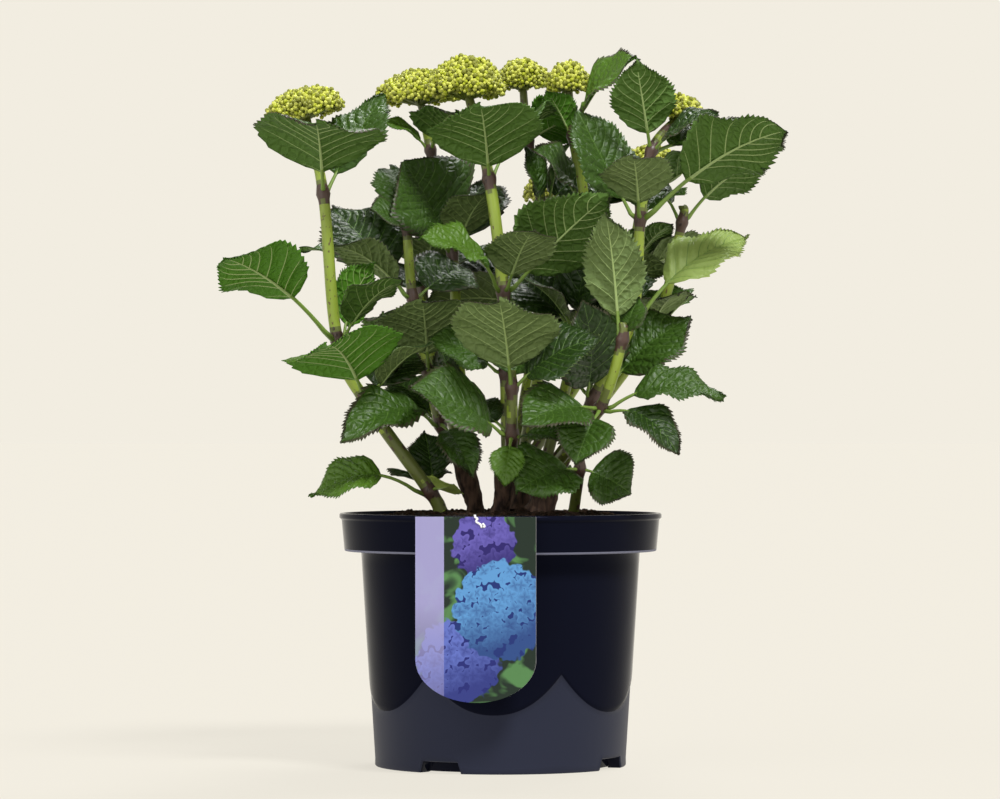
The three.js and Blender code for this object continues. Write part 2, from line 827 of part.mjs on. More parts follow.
const listed = masses.flatMap((mass) => (
  mass.item.leaves.map((spec) => ({ mass, spec, back: mass.middle.y + spec.back }))));
listed.sort((a, b) => a.back - b.back);
for (const { mass, spec } of listed) {
  addLeaf(mass, spec, false);
}

const leafRandom = seeded(SEED);
let facing = 0;
for (const mass of masses) {
  const first = mass.item.leaves[0];
  if (first) {
    facing = Math.atan2(first.back, first.right);
  } else {
    facing = mass.index === 0 ? leafRandom() * Math.PI : facing + Math.PI / 2;
  }
  ruleLeaves(mass, facing, leafRandom).forEach((spec) => addLeaf(mass, spec, true));
}

for (const mass of masses) {
  const solid = largestPiece(wasm.Manifold.union(mass.parts));
  addNode(mass.name, solid, mass.isTop ? COLOURS.crown : COLOURS.leaves, 0.5);
}

export default group;
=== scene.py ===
# %% [markdown]
# # A potted hydrangea shrub, before its flower heads open
# The solids give this plant its reach: where each shoot runs, where each leaf ends and how wide
# each flower head is. Blender gives the looks, so every solid gets a finer mesh in the same place.

# %% Load the frame
import itertools
import math

import bpy
import numpy as np
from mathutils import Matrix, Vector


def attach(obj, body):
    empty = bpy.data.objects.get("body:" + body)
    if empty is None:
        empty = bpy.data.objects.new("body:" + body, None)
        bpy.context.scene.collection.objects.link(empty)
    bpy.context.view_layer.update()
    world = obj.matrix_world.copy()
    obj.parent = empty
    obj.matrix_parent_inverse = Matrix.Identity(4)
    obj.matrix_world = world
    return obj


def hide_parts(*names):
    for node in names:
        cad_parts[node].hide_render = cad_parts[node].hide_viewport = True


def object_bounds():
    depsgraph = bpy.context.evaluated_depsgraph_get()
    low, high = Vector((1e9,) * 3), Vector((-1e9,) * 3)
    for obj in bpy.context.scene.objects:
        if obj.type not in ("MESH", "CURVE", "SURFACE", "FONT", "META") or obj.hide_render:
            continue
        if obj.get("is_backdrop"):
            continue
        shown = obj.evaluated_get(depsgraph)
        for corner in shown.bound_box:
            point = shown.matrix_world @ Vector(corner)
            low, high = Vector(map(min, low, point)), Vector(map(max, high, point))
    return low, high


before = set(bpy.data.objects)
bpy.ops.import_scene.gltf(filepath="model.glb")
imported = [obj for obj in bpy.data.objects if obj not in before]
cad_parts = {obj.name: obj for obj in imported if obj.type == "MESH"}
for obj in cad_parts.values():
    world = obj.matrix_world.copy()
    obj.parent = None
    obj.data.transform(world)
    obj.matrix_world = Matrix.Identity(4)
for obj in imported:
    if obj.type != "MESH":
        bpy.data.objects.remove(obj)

MM = 0.001
SOLID_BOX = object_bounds()


def print_box(what, box):
    low, high = ([round(v, 3) for v in corner] for corner in box)
    print(what, "reaches from", low, "to", high)


print_box("the box of the solids", SOLID_BOX)

# %% [markdown]
# The camera stands where the photographer stood: level, a little over three metres away and about
# as high as the lower leaves, with a long lens. The picture's middle is a little above that
# height, and a small shift of the lens does that without tilting the pot.

# %% Camera
EYE = (0.0, -3.14, 0.242)
FOCAL_LENGTH = 158.3
SENSOR_WIDTH = 36
LENS_SHIFT = (-0.0005, 0.0265)


def new_object(name, data):
    obj = bpy.data.objects.new(name, data)
    bpy.context.scene.collection.objects.link(obj)
    return obj


def stand_camera():
    camera = new_object("camera", bpy.data.cameras.new("camera"))
    camera.location = EYE
    camera.rotation_euler = (math.radians(90), 0, 0)
    camera.data.lens = FOCAL_LENGTH
    camera.data.sensor_width = SENSOR_WIDTH
    camera.data.shift_x, camera.data.shift_y = LENS_SHIFT
    bpy.context.scene.camera = camera


stand_camera()
print("camera at", EYE, "with a", FOCAL_LENGTH, "mm lens")

# %% [markdown]
# Every finish starts from a colour as a painter would write it, in sRGB hex, which the shader
# needs as linear light. One helper adds a node, sets it and links it, for shaders and for
# geometry alike, so a tree reads as a list of what it does. The steps that come most often have
# names of their own: arithmetic, a value moved to a new range, soft noise and a mix of colours.

# %% Helpers for nodes and finishes


def linear(colour):
    """An sRGB colour such as "#3f6a2c" as linear red, green, blue and alpha."""
    channels = [int(colour[i:i + 2], 16) / 255 for i in (1, 3, 5)]
    return [c / 12.92 if c <= 0.04045 else ((c + 0.055) / 1.055) ** 2.4 for c in channels] + [1.0]


def feed(tree, socket, value):
    """Gives an input a value or a link. A node stands for its first output."""
    if isinstance(value, bpy.types.Node):
        value = value.outputs[0]
    if isinstance(value, bpy.types.NodeSocket):
        tree.links.new(value, socket)
    else:
        socket.default_value = value


def add(tree, kind, *values, **named):
    """Adds a node. Names in small letters are its settings, names with a capital are its inputs,
    and values without a name fill its inputs in order."""
    node = tree.nodes.new(kind)
    for name, value in named.items():
        if name.islower():
            setattr(node, name, value)
        else:
            feed(tree, node.inputs[name.replace("_", " ")], value)
    for number, value in enumerate(values):
        feed(tree, node.inputs[number], value)
    return node


def arithmetic(tree, operation, *values, **settings):
    return add(tree, "ShaderNodeMath", *values, operation=operation, **settings)


def vector_math(tree, operation, *values, **inputs):
    return add(tree, "ShaderNodeVectorMath", *values, operation=operation, **inputs)


def ranged(tree, value, *ends, **settings):
    """A value moved from one range to another. Ends are both ranges; the second is 0 to 1 unless given."""
    return add(tree, "ShaderNodeMapRange", value, *ends, **settings)


def cells_per_metre(size_mm):
    return 1 / (size_mm * MM)


def noise(tree, place, size_mm, detail, **inputs):
    """Soft spots of about that size, with finer ones on them by detail."""
    scale = cells_per_metre(size_mm)
    return add(tree, "ShaderNodeTexNoise", Vector=place, Scale=scale, Detail=detail, **inputs)


def mixed(tree, share, first, second):
    """A colour that much of the way from the first to the second."""
    node = add(tree, "ShaderNodeMix", share, data_type="RGBA")
    feed(tree, node.inputs[6], first)
    feed(tree, node.inputs[7], second)
    return node.outputs[2]


def finish(name, colour, roughness, **sockets):
    """A new Principled finish, with its tree and its shader to build on."""
    material = bpy.data.materials.new(name)
    material.use_nodes = True
    tree = material.node_tree
    shader = tree.nodes["Principled BSDF"]
    for socket, value in {"Base_Color": linear(colour), "Roughness": roughness, **sockets}.items():
        shader.inputs[socket.replace("_", " ")].default_value = value
    return material, tree, shader


def relief(tree, shader, height, depth_mm):
    """Feeds a height from 0 to 1 to the shader as relief of that depth."""
    feed(tree, shader.inputs["Normal"],
         add(tree, "ShaderNodeBump", Strength=1.0, Distance=depth_mm * MM, Height=height))


def mottled(made, colours, size_mm, detail, spread, depth_mm, stretch=1.0, crisp=False, **inputs):
    """A finish whose colour runs from one to another in spots. They are relief as well: soft, or
    crisp where only the part in the spread counts. Below 1, stretch draws them out upwards."""
    material, tree, shader = made
    place = add(tree, "ShaderNodeTexCoord").outputs["Object"]
    drawn_out = add(tree, "ShaderNodeMapping", Vector=place, Scale=(1.0, 1.0, stretch))
    spots = noise(tree, drawn_out, size_mm, detail, **inputs)
    share = ranged(tree, spots, *spread)
    feed(tree, shader.inputs["Base Color"], mixed(tree, share, *map(linear, colours)))
    relief(tree, shader, share if crisp else spots, depth_mm)
    return material


print("helpers ready; mid green in linear light is", [round(v, 3) for v in linear("#3f6a2c")])

# %% [markdown]
# A hydrangea leaf is leathery and quilted: between its side veins the blade swells, and a net of
# finer veins is pressed into it. The upper side has a thin waxy skin and shines; the lower side
# is paler, dull and has raised veins. A leaf here has too few pixels for its own picture, so each
# tone is a plain colour dealt leaf by leaf, and the net of fine veins is relief alone. It is drawn
# on the blade's own map, in which one unit is a metre, so the net keeps its size on every leaf.

# %% Leaf finishes
NET_MM = 6.5
NET_EDGE = 0.28
PORE_MM = 1.1
PORE_WEIGHT = 0.3
# Colour, roughness, depth of the net in millimetres, below zero where it's raised, and shine.
# First the waxy upper skin, from deep green to young ones, and then the dull lower one. The deep
# green is partly old leaves' own colour and partly painted shade, mostly dealt to leaves low in
# the plant. The underside that light comes through is painted light, a greener copy of the underside.
SKINS = {
    "leaf upper, deep green": ("#22390f", 0.42, 0.6, 0.34),
    "leaf upper, mid green": ("#355217", 0.42, 0.6, 0.34),
    "leaf upper, fresh green": ("#4b6d1c", 0.43, 0.5, 0.34),
    "leaf upper, young yellow green": ("#8ba154", 0.45, 0.2, 0.38),
    "leaf underside, grey green": ("#677b47", 0.58, -0.9, 0.22),
    "leaf underside, green": ("#4c6b2a", 0.58, -0.9, 0.22),
    "leaf underside, light comes through": ("#4b7a1e", 0.58, -0.8, 0.22),
    "leaf underside, young yellow green": ("#9db355", 0.6, -0.3, 0.25),
}


def leaf_finish(name, colour, roughness, net_depth, shine):
    material, tree, shader = finish(name, colour, roughness, Specular_IOR_Level=shine)
    blade_map = add(tree, "ShaderNodeUVMap", uv_map="Blade")
    net = add(tree, "ShaderNodeTexVoronoi", feature="DISTANCE_TO_EDGE", voronoi_dimensions="2D",
              Vector=blade_map, Scale=cells_per_metre(NET_MM))
    swell = ranged(tree, net, 0.0, NET_EDGE)
    pores = noise(tree, blade_map, PORE_MM, 2.0)
    relief(tree, shader, arithmetic(tree, "MULTIPLY_ADD", pores, PORE_WEIGHT, swell), net_depth)
    return material


LEAF_FINISHES = [leaf_finish(name, *looks) for name, looks in SKINS.items()]
LEAF_FINISHES += [
    finish("vein, upper side", "#55762f", 0.45)[0],
    finish("vein, underside", "#92a768", 0.55)[0],
    finish("leaf stalk", "#718d3a", 0.45)[0],
    finish("dark tooth of the leaf edge", "#3b3a24", 0.5)[0],
]
SLOT_UPPER, SLOT_UNDER = 0, 4
SLOT_VEIN_UPPER, SLOT_VEIN_UNDER, SLOT_STALK, SLOT_TOOTH = 8, 9, 10, 11
print(len(LEAF_FINISHES), "leaf finishes")

# %% [markdown]
# The plan of the plant is the one its solids were grown from: woody stems with a foot and a fork,
# and green shoots with knots, where leaves stand in pairs. A leaf is written as how far its tip
# lies from its knot, to the right, to the back and up, in millimetres, then its width, its tone
# and its show. Tone picks its greens. Show is how far its upper face turns to the front, and below
# zero the underside shows. Arch is how far it bows, and stalk is how much of it is stalk.

# %% The plan of the plant, in millimetres
SOIL_TOP = 181.3
FORK_TOP = 222.3
LOW_FORK_TOP = 214.3
BACK_FORK_TOP = 218.3

STEMS = {
    "stem_left": {"foot": (-18, 8), "fork": (-27, 8, 222), "radius": (6.2, 8.8)},
    "stem_centre": {"foot": (-1, -12), "fork": (6, -24, 222), "radius": (6, 8)},
    "stem_right": {"foot": (27, 10), "fork": (38, 6, 214), "radius": (9.6, 10.4)},
    "stem_back": {"foot": (14, 44), "fork": (16, 54, 218), "radius": (8, 9.6)},
}


def leaf(right, back, up, *looks, **named):
    offset = np.array([right, back, up], float)
    return {"offset": offset, **dict(zip(("wide", "tone", "show"), looks)), **named}


def knot(x, y, z, *leaves):
    return {"place": np.array([x, y, z], float), "leaves": list(leaves)}


def head(place, radius, height, tip_up):
    return {"place": np.array(place, float), "radius": radius, "height": height, "tip_up": tip_up}


def shoot(foot, radius, knots, **named):
    return {"foot": foot, "radius": radius, "knots": knots, **named}


SHOOTS = {
    "left": shoot((-42, -26, SOIL_TOP), (5, 3.6), [
        knot(-50, -28, 196,
             leaf(-84, -16, -4, 46, 2, 0.7, arch=0.24, stalk=0.38),
             leaf(17, -22, 5, 30, 3, -1, arch=-0.04),
             leaf(-4, 24, 42, 32, 0, 1, arch=0.06)),
        knot(-95, -38, 259,
             leaf(-24, -88, 38, 84, 2, -1, arch=0.14, stalk=0.2),
             leaf(34, 40, 36, 50, 0, 0.5)),
        knot(-115, -44, 303,
             leaf(-76, -74, 55, 66, 1, -0.7, arch=0.1, stalk=0.36, under=2),
             leaf(26, 26, 56, 42, 2, -1.4)),
        knot(-125, -40, 406,
             leaf(-2, -74, 45, 92, 1, -0.5, arch=0.12, stalk=0.18),
             leaf(42, 42, 73, 46, 1, 0.8, arch=0.04)),
    ], head=head((-139, -15, 465), 30, 19, 13)),
    "centre_left": shoot((-23, 4, FORK_TOP), (4.2, 3.3), [
        knot(-31, 36, 300),
        knot(-35, 50, 368,
             leaf(-35, -24, 65, 100, 1, 1.3, arch=0.06, stalk=0.24),
             leaf(22, 54, 54, 60, 0, 0.6, arch=0.06)),
        knot(-51, 60, 443,
             leaf(-42, -10, 20, 24, 2, 0.5, arch=0.15),
             leaf(18, 35, 26, 30, 1)),
    ], bare=(0,), head=head((-59, 62, 482), 33, 21, 4)),
    "inner": shoot((-32, 6, FORK_TOP), (4, 3.2), [
        knot(-43, -5, 243,
             leaf(-68, -81, -12, 46, 1, 0.8, arch=0.2),
             leaf(-34, 44, 32, 50, 0, 0.8),
             leaf(24, -45, -37, 30, 1, 1)),
        knot(-52, 0, 281,
             leaf(-3, -56, 50, 70, 0, -1),
             leaf(-46, 22, 6, 40, 0, 1)),
        knot(-63, 8, 334,
             leaf(-60, 56, 67, 64, 0, 1, arch=0.06, stalk=0.24),
             leaf(40, 36, 22, 56, 0, 0.8),
             leaf(-58, -34, 36, 36, 0, -0.5, arch=0.14)),
        knot(-67, 12, 384,
             leaf(-26, -20, 12, 40, 1, 0.9),
             leaf(-14, 66, 47, 36, 1, 0.9, arch=0.1)),
    ]),
    "centre": shoot((5.2, -19.6, FORK_TOP), (4.8, 3.9), [
        knot(4, -30, 280,
             leaf(-54, -14, 24, 50, 1, 0.9),
             leaf(42, 4, 30, 46, 1, 0.8)),
        knot(2, -36, 337,
             leaf(-58, -56, 36, 40, 2, 0.8, arch=0.16, stalk=0.26),
             leaf(74, -26, 67, 74, 1, -1.4, arch=0.05)),
        knot(-8, -28, 417,
             leaf(-6, -62, 48, 80, 1, -0.6, stalk=0.1),
             leaf(48, 50, 50, 68, 1, -0.4)),
    ], head=head((-24, -5, 482), 29, 26, 0)),
    "front": shoot((7.2, -28.6, FORK_TOP), (4.6, 3.6), [
        knot(8, -55, 236,
             leaf(-72, -42, 32, 72, 1, 1, arch=0.08),
             leaf(36, -26, -4, 40, 1, 0.6),
             leaf(-5, -25, -36, 24, 2, 1.2)),
        knot(8, -64, 269,
             leaf(-9, -58, 60, 76, 0, -0.8, arch=0.1),
             leaf(10, 30, 40, 54, 1, 0.8)),
    ]),
    "centre_right": shoot((31.7, 4.9, LOW_FORK_TOP), (4.2, 3.3), [
        knot(56, 20, 311,
             leaf(16, -26, 70, 62, 0, 1.2),
             leaf(-52, 18, 40, 54, 0, 0.8)),
        knot(61, 22, 394,
             leaf(-37, -46, 45, 48, 1, 1, stalk=0.24),
             leaf(36, 34, 30, 50, 0, 0.6)),
        knot(52, 25, 451,
             leaf(-19, -9, 32, 28, 2, -1, arch=0.06),
             leaf(45, -54, 52, 58, 2, 1, stalk=0.26)),
    ], head=head((49, 26, 487), 18, 19, 3)),
    "right": shoot((44.3, 7.1, LOW_FORK_TOP), (4.4, 3.4), [
        knot(66, -14, 262,
             leaf(-8, -42, 68, 62, 0, 1.3, stalk=0.12),
             leaf(70, 8, 58, 64, 1, 1.1, stalk=0.26)),
        knot(93, -28, 318,
             leaf(84, 36, 59, 44, 3, 0.8, arch=0.14, stalk=0.28),
             leaf(-48, 56, 36, 48, 0, 0.8)),
        knot(99, -30, 389,
             leaf(-46, 2, 79, 62, 1, 1, arch=0),
             leaf(100, -64, 58, 64, 0, -1, arch=0.12, stalk=0.28, under=1)),
        knot(107, -25, 437,
             leaf(-12, -31, 62, 46, 1, -1.6, arch=0.02),
             leaf(74, 84, 26, 46, 1, 0.6, arch=0.02)),
    ], head=head((128, 0, 464), 20, 16, -16)),
    "outer": shoot((36.9, 12.3, LOW_FORK_TOP), (4.2, 3.2), [
        knot(109, 36, 311, leaf(14, 64, 33, 50, 1, arch=0.05)),
        knot(131, 34, 389, leaf(62, -20, 46, 44, 1, -1.2, arch=0.16, stalk=0.26)),
    ]),
    "right_front": shoot((39.1, -0.3, LOW_FORK_TOP), (4.2, 3.4), [
        knot(70, -62, 255,
             leaf(86, -17, 6, 46, 1, 0.7, arch=0.18, stalk=0.24),
             leaf(-56, -46, -12, 58, 1, 0.9),
             leaf(-18, -33, -40, 42, 1, 1.1),
             leaf(53, -40, -33, 34, 0, 0.5, arch=0.2, stalk=0.24)),
        knot(85, -78, 302,
             leaf(-12, -18, 88, 44, 0, -1.7, arch=0.08),
             leaf(12, 2, 30, 40, 1, 0.6, arch=0.06)),
    ]),
    "low_right": shoot((52, -16, SOIL_TOP), (4, 3.2), [
        knot(56, -40, 212,
             leaf(-45, -43, -16, 56, 1, 0.9),
             leaf(36, -6, -18, 52, 1, 1.2),
             leaf(-10, 14, -16, 22, 2, 0.9, arch=0.2)),
    ], short=True),
    "back": shoot((16, 48.4, BACK_FORK_TOP), (4.2, 3.3), [
        knot(34, 52, 326),
        knot(30, 48, 400,
             leaf(-14, -18, 46, 30, 1, 1.2),
             leaf(40, 28, 34, 40, 0, 0.8)),
        knot(20, 46, 449, leaf(34, -14, 14, 50, 2, -1)),
    ], head=head((16, 52, 491), 20, 20, 2)),
    "back_left": shoot((-27, 13.4, FORK_TOP), (4.2, 3.3), [
        knot(-48, 84, 285), knot(-58, 112, 345), knot(-60, 122, 388),
    ], head=head((-60, 126, 410), 26, 17, -4)),
    "back_middle": shoot((11.2, 57.4, BACK_FORK_TOP), (4.2, 3.3), [
        knot(22, 112, 285), knot(36, 142, 340), knot(42, 152, 392),
    ], head=head((43, 154, 416), 27, 18, 3)),
    "back_right": shoot((20.8, 57.4, BACK_FORK_TOP), (4.2, 3.3), [
        knot(72, 92, 300), knot(94, 108, 356), knot(104, 114, 406),
    ], head=head((108, 116, 432), 28, 19, 6)),
}
print(len(STEMS), "woody stems and", len(SHOOTS), "green shoots")

# %% [markdown]
# A shoot runs on one smooth curve through its foot, its knots and its tip. The solids use a
# Catmull-Rom curve, so the same one is written here: between two points it leaves and arrives
# along the line through their neighbours.

# %% Curves of the shoots
BUD_HEIGHT = 12
COLLAR_THICKNESS = 3.2
ROOT_DEPTH = 1.3
UP = np.array([0.0, 0.0, 1.0])
FRONT = np.array([0.0, -1.0, 0.0])


def unit(vector):
    return vector / np.linalg.norm(vector, axis=-1, keepdims=True)


def curve_point(points, share):
    """A point of the curve through all the points, from share 0 to share 1."""
    points = np.asarray(points, float)
    spans = len(points) - 1
    place = min(max(share, 0.0), 1.0) * spans
    span = min(int(place), spans - 1)
    t = place - span
    before = points[span - 1] if span > 0 else 2 * points[0] - points[1]
    start, end = points[span], points[span + 1]
    after = points[span + 2] if span + 2 <= spans else 2 * points[-1] - points[-2]
    leave, arrive = 0.5 * (end - before), 0.5 * (after - start)
    return (start + leave * t + (-3 * start + 3 * end - 2 * leave - arrive) * t ** 2
            + (2 * start - 2 * end + leave + arrive) * t ** 3)


def curve_tangent(points, share):
    step = 1e-4
    return unit(curve_point(points, share + step) - curve_point(points, share - step))


def route_of(shoot):
    top = shoot["knots"][-1]["place"]
    end = shoot["head"]["place"] if "head" in shoot else top + BUD_HEIGHT * UP
    return [np.array(shoot["foot"], float), *[item["place"] for item in shoot["knots"]], end]


def masses_of(name, shoot):
    """Each leafy knot with what a leaf needs to know of it."""
    route = route_of(shoot)
    spans = len(shoot["knots"]) + 1
    for index, item in enumerate(shoot["knots"]):
        if index in shoot.get("bare", ()):
            continue
        is_top = index == spans - 2
        share = (index + 1) / spans
        limb_radius = np.interp(share, [0, 1], shoot["radius"])
        sink = -ROOT_DEPTH if is_top else COLLAR_THICKNESS - ROOT_DEPTH
        yield {
            "node": f"crown_{name}" if is_top else f"leaves_{name}_{index + 1}",
            "shoot": name,
            "index": index,
            "is_top": is_top,
            "item": item,
            "middle": item["place"],
            "tangent": curve_tangent(route, share),
            "root_radius": limb_radius + sink,
        }


MASSES = [mass for name, shoot in SHOOTS.items() for mass in masses_of(name, shoot)]
print(len(MASSES), "leafy knots")

# %% [markdown]
# The solids' growing rule adds leaves behind the listed ones: a pair at each knot, the next pair
# a quarter turn further round, and smaller leaves of the side buds between. Each leaf then took
# the first free place from a list of small changes in size, turn, rise and roll. Which change it
# took can be read from the frame: the right one has its tip and its edge on points of the solid.

# %% The growing rule and the place each leaf took
LEAF_SEED = 20
MOST_ON_TOP = 3
MOST_LEAVES = (4, 3)
# How steeply a leaf of the rule rises, in degrees, and how long it is.
TOP_PAIR, LOWER_PAIR, SIDE_BUD = (38, 76), (20, 92), (34, 64)
# How far its turn, in radians, its rise and its length are spread.
SPREADS = (0.6, 26, 18)
SIZES = (1, 0.86, 0.74)
TURN_STEP, RISE_STEP, ROLL_STEP = 11, 8, 0.45
STEP_RANGES = (range(-5, 6), range(-2, 5), range(-2, 3))
ROLL_WEIGHT = 1.5
USUAL_WIDTH, USUAL_ARCH, USUAL_STALK = 0.78, 0.1, 0.16
SOLID_LEAF = {"thickness": 1.3, "fold": 0.3, "edge_share": 0.28}
TOUCH = 0.12


def seeded(seed):
    state = seed
    while True:
        state = (state * 1664525 + 1013904223) % 4294967296
        yield state / 4294967296


def around(turn, radius, height):
    """Points around the upright axis, at turns in radians."""
    return np.stack(np.broadcast_arrays(radius * np.cos(turn), radius * np.sin(turn), height), axis=-1)


def rule_leaves(mass, facing, draws):
    most = MOST_ON_TOP if mass["is_top"] else MOST_LEAVES[mass["index"] % 2]
    for side in range(len(mass["item"]["leaves"]), most):
        in_pair = side < 2
        rise, length = (TOP_PAIR if mass["is_top"] else LOWER_PAIR) if in_pair else SIDE_BUD
        usual = (facing + math.pi * (side if in_pair else side + 0.5), rise, length)
        turn, rise, length = (value + (next(draws) - 0.5) * spread for value, spread in zip(usual, SPREADS))
        lift = math.radians(rise)
        yield leaf(*around(turn, length * math.cos(lift), length * math.sin(lift)))


def turned_about(vector, axis, degrees):
    angle = math.radians(degrees)
    return (vector * math.cos(angle) + np.cross(axis, vector) * math.sin(angle)
            + axis * np.dot(axis, vector) * (1 - math.cos(angle)))


def changes():
    """Steps of turn, rise and roll, the smallest first."""
    steps = itertools.product(*STEP_RANGES)
    return sorted(steps, key=lambda s: s[0] ** 2 + s[1] ** 2 + ROLL_WEIGHT * s[2] ** 2)


def leaf_frame(root, tip, looks):
    """The midrib's curve, the direction across the blade, and the leaf's sizes."""
    length = np.linalg.norm(tip - root)
    along = (tip - root) / length
    upper = unit(UP - along * along[2])
    upper = unit(upper + (FRONT + along * along[1]) * looks.get("show", 0))
    bow = 2 * looks.get("arch", USUAL_ARCH) * length
    return {
        "root": root,
        "middle": (root + tip) / 2 + upper * bow,
        "tip": tip,
        "side": unit(np.cross(along, upper)),
        "length": length,
        "wide": looks.get("wide", USUAL_WIDTH * length),
        "stalk": looks.get("stalk", USUAL_STALK),
    }


def midrib(leaf_at, share):
    """Points of the midrib and the directions that the upper face has there."""
    t = np.asarray(share, float)[..., None]
    root, middle, tip = leaf_at["root"], leaf_at["middle"], leaf_at["tip"]
    place = (1 - t) ** 2 * root + 2 * t * (1 - t) * middle + t ** 2 * tip
    tangent = unit((1 - t) * (middle - root) + t * (tip - middle))
    return place, np.cross(leaf_at["side"], tangent)


def on_blade(leaf_at, share):
    """The share of the whole leaf where a share of its blade lies."""
    return leaf_at["stalk"] + (1 - leaf_at["stalk"]) * share


def outline(share):
    """How wide the blade is at a share of its length, from 0 to 1."""
    return np.sin(np.pi * np.clip(share, 0, 1) ** 0.84) ** 0.8


def nearest(cloud, point):
    return np.sqrt(((cloud - point) ** 2).sum(-1).min())


def place_taken(spec, mass, cloud, steps):
    """The leaf as the solid has it, or None where the rule found no room for it."""
    for size in SIZES:
        for turn, rise, roll in steps:
            offset = turned_about(spec["offset"] * size, UP, turn * TURN_STEP)
            level = unit(np.array([-offset[1], offset[0], 0.0]))
            offset = turned_about(offset, level, -rise * RISE_STEP)
            tip = mass["middle"] + offset
            if abs(nearest(cloud, tip) - SOLID_LEAF["thickness"] / 2) > TOUCH:
                continue
            outward = unit(offset - mass["tangent"] * np.dot(offset, mass["tangent"]))
            looks = {**spec, "show": spec.get("show", 0) + roll * ROLL_STEP}
            if "wide" in spec:
                looks["wide"] = spec["wide"] * size
            leaf_at = leaf_frame(mass["middle"] + outward * mass["root_radius"], tip, looks)
            share = SOLID_LEAF["edge_share"]
            place, upper = midrib(leaf_at, on_blade(leaf_at, share))
            across = 0.5 * leaf_at["wide"] * outline(share)
            lift = across * SOLID_LEAF["fold"] + SOLID_LEAF["thickness"] / 2
            if nearest(cloud, place + leaf_at["side"] * across + upper * lift) < TOUCH:
                return {**leaf_at, "outward": outward, "mass": mass, "looks": looks}
    return None


def cloud_of(node):
    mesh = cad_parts[node].data
    places = np.empty(len(mesh.vertices) * 3)
    mesh.vertices.foreach_get("co", places)
    return places.reshape(-1, 3) / MM


def grow():
    draws = seeded(LEAF_SEED)
    steps = changes()
    facing = 0.0
    grown, skipped = [], 0
    for mass in MASSES:
        listed = mass["item"]["leaves"]
        if listed:
            facing = math.atan2(listed[0]["offset"][1], listed[0]["offset"][0])
        else:
            facing = next(draws) * math.pi if mass["index"] == 0 else facing + math.pi / 2
        cloud = cloud_of(mass["node"])
        for spec in [*listed, *rule_leaves(mass, facing, draws)]:
            leaf_at = place_taken(spec, mass, cloud, steps)
            if leaf_at is None:
                skipped += 1
            else:
                grown.append(leaf_at)
    return grown, skipped


LEAVES, SKIPPED = grow()
print(len(LEAVES), "leaves found in the solids, and", SKIPPED, "had no room")

# %% [markdown]
# Everything grown is swept from a few curves: a blade is a grid of points, a stalk or a vein is a
# ring of points drawn along a line. One small collector takes such grids, in millimetres, with
# the number of the finish on each face, and hands them over as one closed mesh per kind.

# %% A collector for grids of points
TIP_SHARE = 0.02


class Shape:
    """Points, four-sided faces, finish numbers and map places, gathered into one mesh."""

    def __init__(self):
        self.points, self.faces, self.slots, self.maps = [], [], [], []
        self.count = 0

    def grid(self, points, slots, wrap=False, flip=False, blade_map=None):
        """Joins neighbours in rows and columns. Columns run to the right of the rows' direction."""
        rows, columns = points.shape[:2]
        numbers = self.count + np.arange(rows * columns).reshape(rows, columns)
        if wrap:
            numbers = np.concatenate([numbers, numbers[:, :1]], axis=1)
        corners = [numbers[:-1, :-1], numbers[:-1, 1:], numbers[1:, 1:], numbers[1:, :-1]]
        faces = np.stack(corners[::-1] if flip else corners, axis=-1).reshape(-1, 4)
        self.faces.append(faces)
        self.slots.append(np.broadcast_to(slots, (rows - 1, numbers.shape[1] - 1)).reshape(-1))
        self.points.append(points.reshape(-1, 3))
        self.maps.append(np.zeros((rows * columns, 2)) if blade_map is None else blade_map.reshape(-1, 2))
        self.count += rows * columns
        return numbers

    def wall(self, front, back, slot):
        """Closes the gap between two rows of points that are already in."""
        faces = np.stack([front[:-1], back[:-1], back[1:], front[1:]], axis=-1)
        self.faces.append(faces)
        self.slots.append(np.full(len(faces), slot))

    def slab(self, front, back, slots, blade_map=None):
        """A closed sheet with a front, a back and an edge. Slots are those of front, back and edge."""
        upper = self.grid(front, slots[0], blade_map=blade_map)
        lower = self.grid(back, slots[1], flip=True, blade_map=blade_map)
        for edge in (np.s_[0, :], np.s_[:, -1], np.s_[-1, ::-1], np.s_[::-1, 0]):
            self.wall(upper[edge], lower[edge], slots[2])

    def tube(self, centres, across, upper, sizes, slots, sides=8):
        """A round limb along centres, closed at both ends. Sizes are its half width and half height."""
        turn = np.linspace(0, 2 * np.pi, sides, endpoint=False)[None, :, None]
        sizes = np.asarray(sizes, float)
        rings = (centres[:, None] + across[:, None] * np.cos(turn) * sizes[:, None, :1]
                 + upper[:, None] * np.sin(turn) * sizes[:, None, 1:])
        tips = [centres[end, None] + TIP_SHARE * (rings[end] - centres[end, None])
                for end in (np.s_[:1], np.s_[-1:])]
        slots = np.asarray(slots)
        if slots.ndim == 2:
            slots = np.concatenate([slots[:1], slots, slots[-1:]])
        self.grid(np.concatenate([tips[0], rings, tips[1]]), slots, wrap=True, flip=True)

    def piece(self, name, finishes, smooth=True):
        """The gathered faces as one object, in metres."""
        mesh = bpy.data.meshes.new(name)
        mesh.from_pydata(np.concatenate(self.points) * MM, [], np.concatenate(self.faces))
        for material in finishes:
            mesh.materials.append(material)
        mesh.polygons.foreach_set("material_index", np.concatenate(self.slots).astype(np.int32))
        mesh.polygons.foreach_set("use_smooth", np.full(len(mesh.polygons), smooth))
        corners = np.empty(len(mesh.loops), np.int32)
        mesh.loops.foreach_get("vertex_index", corners)
        places = np.concatenate(self.maps) * MM
        mesh.uv_layers.new(name="Blade").data.foreach_set("uv", places[corners].reshape(-1))
        mesh.update()
        return new_object(name, mesh)


# How far the finished pieces stay inside the box of the solids, except at its foot.
BOX_MARGIN = 0.3 * MM
KEPT_LOW = np.array(SOLID_BOX[0]) + np.array([BOX_MARGIN, BOX_MARGIN, 0])
KEPT_HIGH = np.array(SOLID_BOX[1]) - BOX_MARGIN


